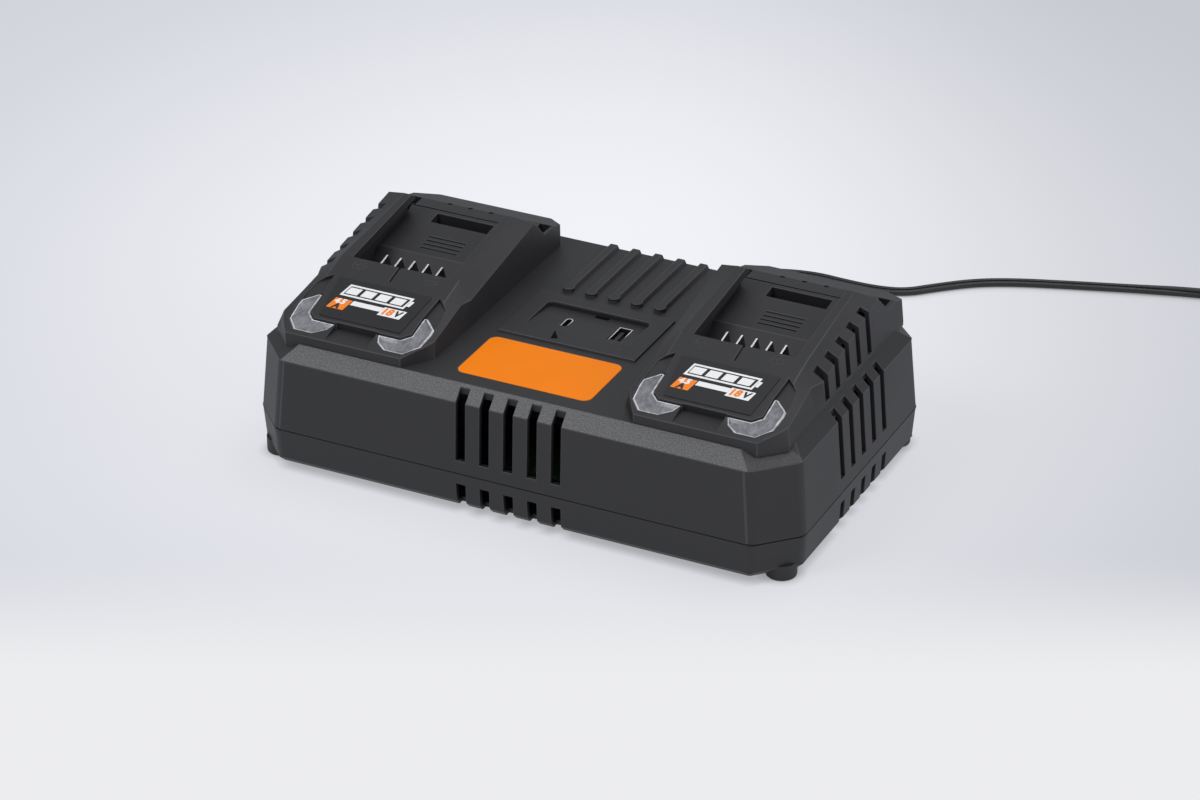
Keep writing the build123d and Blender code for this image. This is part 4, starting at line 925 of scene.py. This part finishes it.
class CHARGER_OT_top(bpy.types.Operator):
    """Finish the badge and the USB sockets"""

    bl_idname = "charger.top"
    bl_label = "Badge and sockets"

    def execute(self, context):
        settings = context.scene.charger_top
        paint(printed_film("badge_film", settings.badge_color, 0.4, 0.0, 0.15), "center_badge")
        paint(socket_metal(settings.shell_color), "usb_a_shell", "usb_c_shell")
        paint(plain_plastic("socket_tongue", (0.02, 0.02, 0.022), 0.4), "usb_a_tongue",
              "usb_c_tongue")
        paint(bright_metal("contact_gold", (0.85, 0.58, 0.22), 0.2), "usb_a_contacts")
        self.mark_recess()
        return {"FINISHED"}

    def mark_recess(self):
        """A flat dark patch at the rear of the USB recess, painted shade that stands for a slit,
        and a dark arrow before it.
        """
        # Painted shade: a flat dark patch where a slit would hold shade.
        slit = flat_patch("slit", 6.8, 2.2)
        slit.matrix_world = (Matrix.Translation(Vector(RECESS_SLIT) * MM)
                             @ Matrix.Rotation(-RECESS_SLOPE, 4, "X"))
        clear_selection()
        bpy.ops.mesh.primitive_circle_add(
            vertices=3, radius=ARROW_RADIUS * MM, fill_type="NGON")
        arrow = bpy.context.object
        bpy.ops.object.mode_set(mode="EDIT")
        bpy.ops.mesh.select_all(action="SELECT")
        bpy.ops.transform.resize(value=(ARROW_SLIMNESS, 1.0, 1.0))
        thicken_patch()
        arrow.matrix_world = (Matrix.Translation(Vector(ARROW_MIDDLE) * MM)
                              @ Matrix.Rotation(ARROW_TURN, 4, "Z"))
        dark = printed_film("slit_shade_and_arrow", (0.002, 0.002, 0.002), 0.6, 0.0, 0.05)
        marks = join(slit, arrow)
        marks.name = "recess_marks"
        finish_piece(marks, [dark], "label_black")


class CHARGER_OT_inside(bpy.types.Operator):
    """Finish what shows through the vents"""

    bl_idname = "charger.inside"
    bl_label = "Inside"

    def execute(self, context):
        paint(circuit_board("solder_mask"), "main_board", "usb_board", "left_dock_board",
              "right_dock_board")
        paint(bright_metal("screw_zinc", (0.55, 0.56, 0.58), 0.3), "board_screws",
              "housing_screws")
        paint(plain_plastic("ferrite", (0.05, 0.05, 0.055), 0.6, 0.2 * MM, 0.5),
              "transformer_core")
        paint(wound_wire("winding_tape", (0.62, 0.42, 0.04), (0.30, 0.18, 0.02), 1.5 * MM),
              "transformer_winding")
        paint(wound_wire("choke_wire", (0.42, 0.15, 0.05), (0.03, 0.02, 0.02), 0.8 * MM),
              "common_mode_choke")
        paint(printed_film("can_sleeve", (0.02, 0.03, 0.09), 0.3, 0.3), "bulk_capacitors",
              "output_capacitors")
        paint(bright_metal("sink_aluminium", (0.72, 0.73, 0.75), 0.36, (1.0, 1.0, 0.1)),
              "primary_heat_sink", "output_heat_sink")
        black = plain_plastic("part_plastic", (0.02, 0.02, 0.021), 0.45)
        paint(black, "power_transistors", "mains_fuse", "bridge_rectifier", "fan_frame")
        paint(plain_plastic("rotor_plastic", (0.03, 0.03, 0.032), 0.38), "fan_rotor")
        paint(plain_plastic("lead_insulation", (0.30, 0.02, 0.015), 0.4), "dock_leads",
              "board_leads")
        paint(plain_plastic("mains_insulation", (0.02, 0.02, 0.02), 0.4), "mains_lead")
        paint(plain_plastic("led_lens", (0.75, 0.75, 0.68), 0.2), "left_status_leds",
              "right_status_leds")
        return {"FINISHED"}


class CHARGER_OT_plug(bpy.types.Operator):
    """Finish the strain relief and the plug"""

    bl_idname = "charger.plug"
    bl_label = "Strain relief and plug"

    def execute(self, context):
        rubber = plain_plastic("plug_plastic", (0.016, 0.016, 0.017), 0.42, 0.4 * MM)
        paint(rubber, "strain_relief", "plug_body")
        paint(pin_metal(), "plug_pins")
        return {"FINISHED"}


# Share of the floor's look that doesn't depend on the lamps, reach of its contact shadow in
# millimetres, and how much darker its right side is painted, a painted shade
FLOOR_GLOW, CONTACT_SHADOW, SIDE_DIMMING = 0.74, 5, 0.11


def floor_finish(settings):
    """Pale floor with a painted pool of light behind the charger and painted shade on its right
    side; it keeps the charger's shadow.
    """
    f = Finish("studio_floor")
    turned = f.node("ShaderNodeVectorRotate", {"rotation_type": "Z_AXIS"},
                    {"Vector": f.place(), "Angle": -VIEW_TURN})
    across, away, _ = f.axes(turned)
    reach = ((across * across) + (away - 0.17) * (away - 0.17) * 0.7) ** 0.5
    ground = f.mix(reach.step(0.46, 0.02), settings.far_color, settings.near_color)
    dimmed = f.mix(SIDE_DIMMING, ground, (0.0, 0.0, 0.0))
    ground = f.mix(across.step(0.02, 0.3), ground, dimmed)
    ground = f.mix(away.step(-0.09, -0.2), ground, settings.front_color)
    f.set(Base_Color=ground, Roughness=0.9, Specular_IOR_Level=0.0)
    open_sky = f.node("ShaderNodeAmbientOcclusion", {"samples": 8},
                      {"Distance": CONTACT_SHADOW * MM}, output=1)
    path = f.tree.nodes.new("ShaderNodeLightPath")
    seen = Number(f, path.outputs["Is Camera Ray"]) + Number(f, path.outputs["Is Glossy Ray"])
    glow = f.mix(open_sky, [c * 0.3 for c in settings.near_color], ground)
    glowing = f.node("ShaderNodeEmission", inputs={"Color": glow, "Strength": 1.0})
    output = next(n for n in f.tree.nodes if n.type == "OUTPUT_MATERIAL")
    mixed = f.node("ShaderNodeMixShader",
                   inputs={0: seen * FLOOR_GLOW, 1: Number(f, f.shader.outputs[0]), 2: glowing})
    f.put(output.inputs["Surface"], mixed)
    return f.material


class CHARGER_OT_stage(bpy.types.Operator):
    """Set the floor, the sky light and the lamps"""

    bl_idname = "charger.stage"
    bl_label = "Studio"

    def execute(self, context):
        scene = context.scene
        clear_selection()
        bpy.ops.mesh.primitive_circle_add(vertices=96, radius=9.0, fill_type="NGON")
        floor = context.object
        floor.name = "studio_floor"
        floor.data.materials.append(floor_finish(scene.charger_stage))

        world = bpy.data.worlds.new("studio_sky")
        scene.world = world
        world.use_nodes = True
        tree = world.node_tree
        background = next(n for n in tree.nodes if n.type == "BACKGROUND")
        background.inputs["Color"].default_value = SKY_COLOR
        background.inputs["Strength"].default_value = SKY_STRENGTH
        seen = tree.nodes.new("ShaderNodeBackground")
        seen.inputs["Color"].default_value = (*scene.charger_stage.far_color, 1.0)
        path = tree.nodes.new("ShaderNodeLightPath")
        mixed = tree.nodes.new("ShaderNodeMixShader")
        output = next(n for n in tree.nodes if n.type == "OUTPUT_WORLD")
        tree.links.new(path.outputs["Is Camera Ray"], mixed.inputs[0])
        tree.links.new(background.outputs[0], mixed.inputs[1])
        tree.links.new(seen.outputs[0], mixed.inputs[2])
        tree.links.new(mixed.outputs[0], output.inputs["Surface"])

        for name, place, size, energy in LAMPS:
            data = bpy.data.lights.new(name, "AREA")
            data.shape, data.size, data.energy = "DISK", size, energy
            lamp = bpy.data.objects.new(name, data)
            scene.collection.objects.link(lamp)
            lamp.location = place
            lamp.rotation_euler = (-Vector(place)).to_track_quat("-Z", "Y").to_euler()
        scene.view_settings.view_transform = "Standard"
        return {"FINISHED"}


class CHARGER_PT_panel(bpy.types.Panel):
    """The charger's steps in the sidebar"""

    bl_idname = "CHARGER_PT_panel"
    bl_label = "Battery charger"
    bl_space_type = "VIEW_3D"
    bl_region_type = "UI"
    bl_category = "Charger"

    def draw(self, context):
        for step in STEPS:
            self.layout.operator(step.bl_idname)
        for name, _ in SETTINGS:
            group = getattr(context.scene, name)
            box = self.layout.box()
            for key in group.bl_rna.properties.keys():
                if key not in ("rna_type", "name"):
                    box.prop(group, key)


SETTINGS = (
    ("charger_housing", HousingSettings), ("charger_docks", DockSettings),
    ("charger_top", TopSettings), ("charger_cord", CordSettings),
    ("charger_stage", StageSettings))
STEPS = (
    CHARGER_OT_camera, CHARGER_OT_cord, CHARGER_OT_housing, CHARGER_OT_docks, CHARGER_OT_top,
    CHARGER_OT_inside, CHARGER_OT_plug, CHARGER_OT_stage)
CLASSES = tuple(group for _, group in SETTINGS) + STEPS + (CHARGER_PT_panel,)


def register():
    """Registers the classes and hangs their settings on the scene."""
    for item in CLASSES:
        bpy.utils.register_class(item)
    for name, group in SETTINGS:
        setattr(bpy.types.Scene, name, PointerProperty(type=group))


def unregister():
    """Takes back what register did."""
    for name, _ in SETTINGS:
        delattr(bpy.types.Scene, name)
    for item in reversed(CLASSES):
        bpy.utils.unregister_class(item)


def main():
    """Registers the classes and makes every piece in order."""
    register()
    for step in STEPS:
        space, name = step.bl_idname.split(".")
        getattr(getattr(bpy.ops, space), name)()


if __name__ == "__main__":
    main()
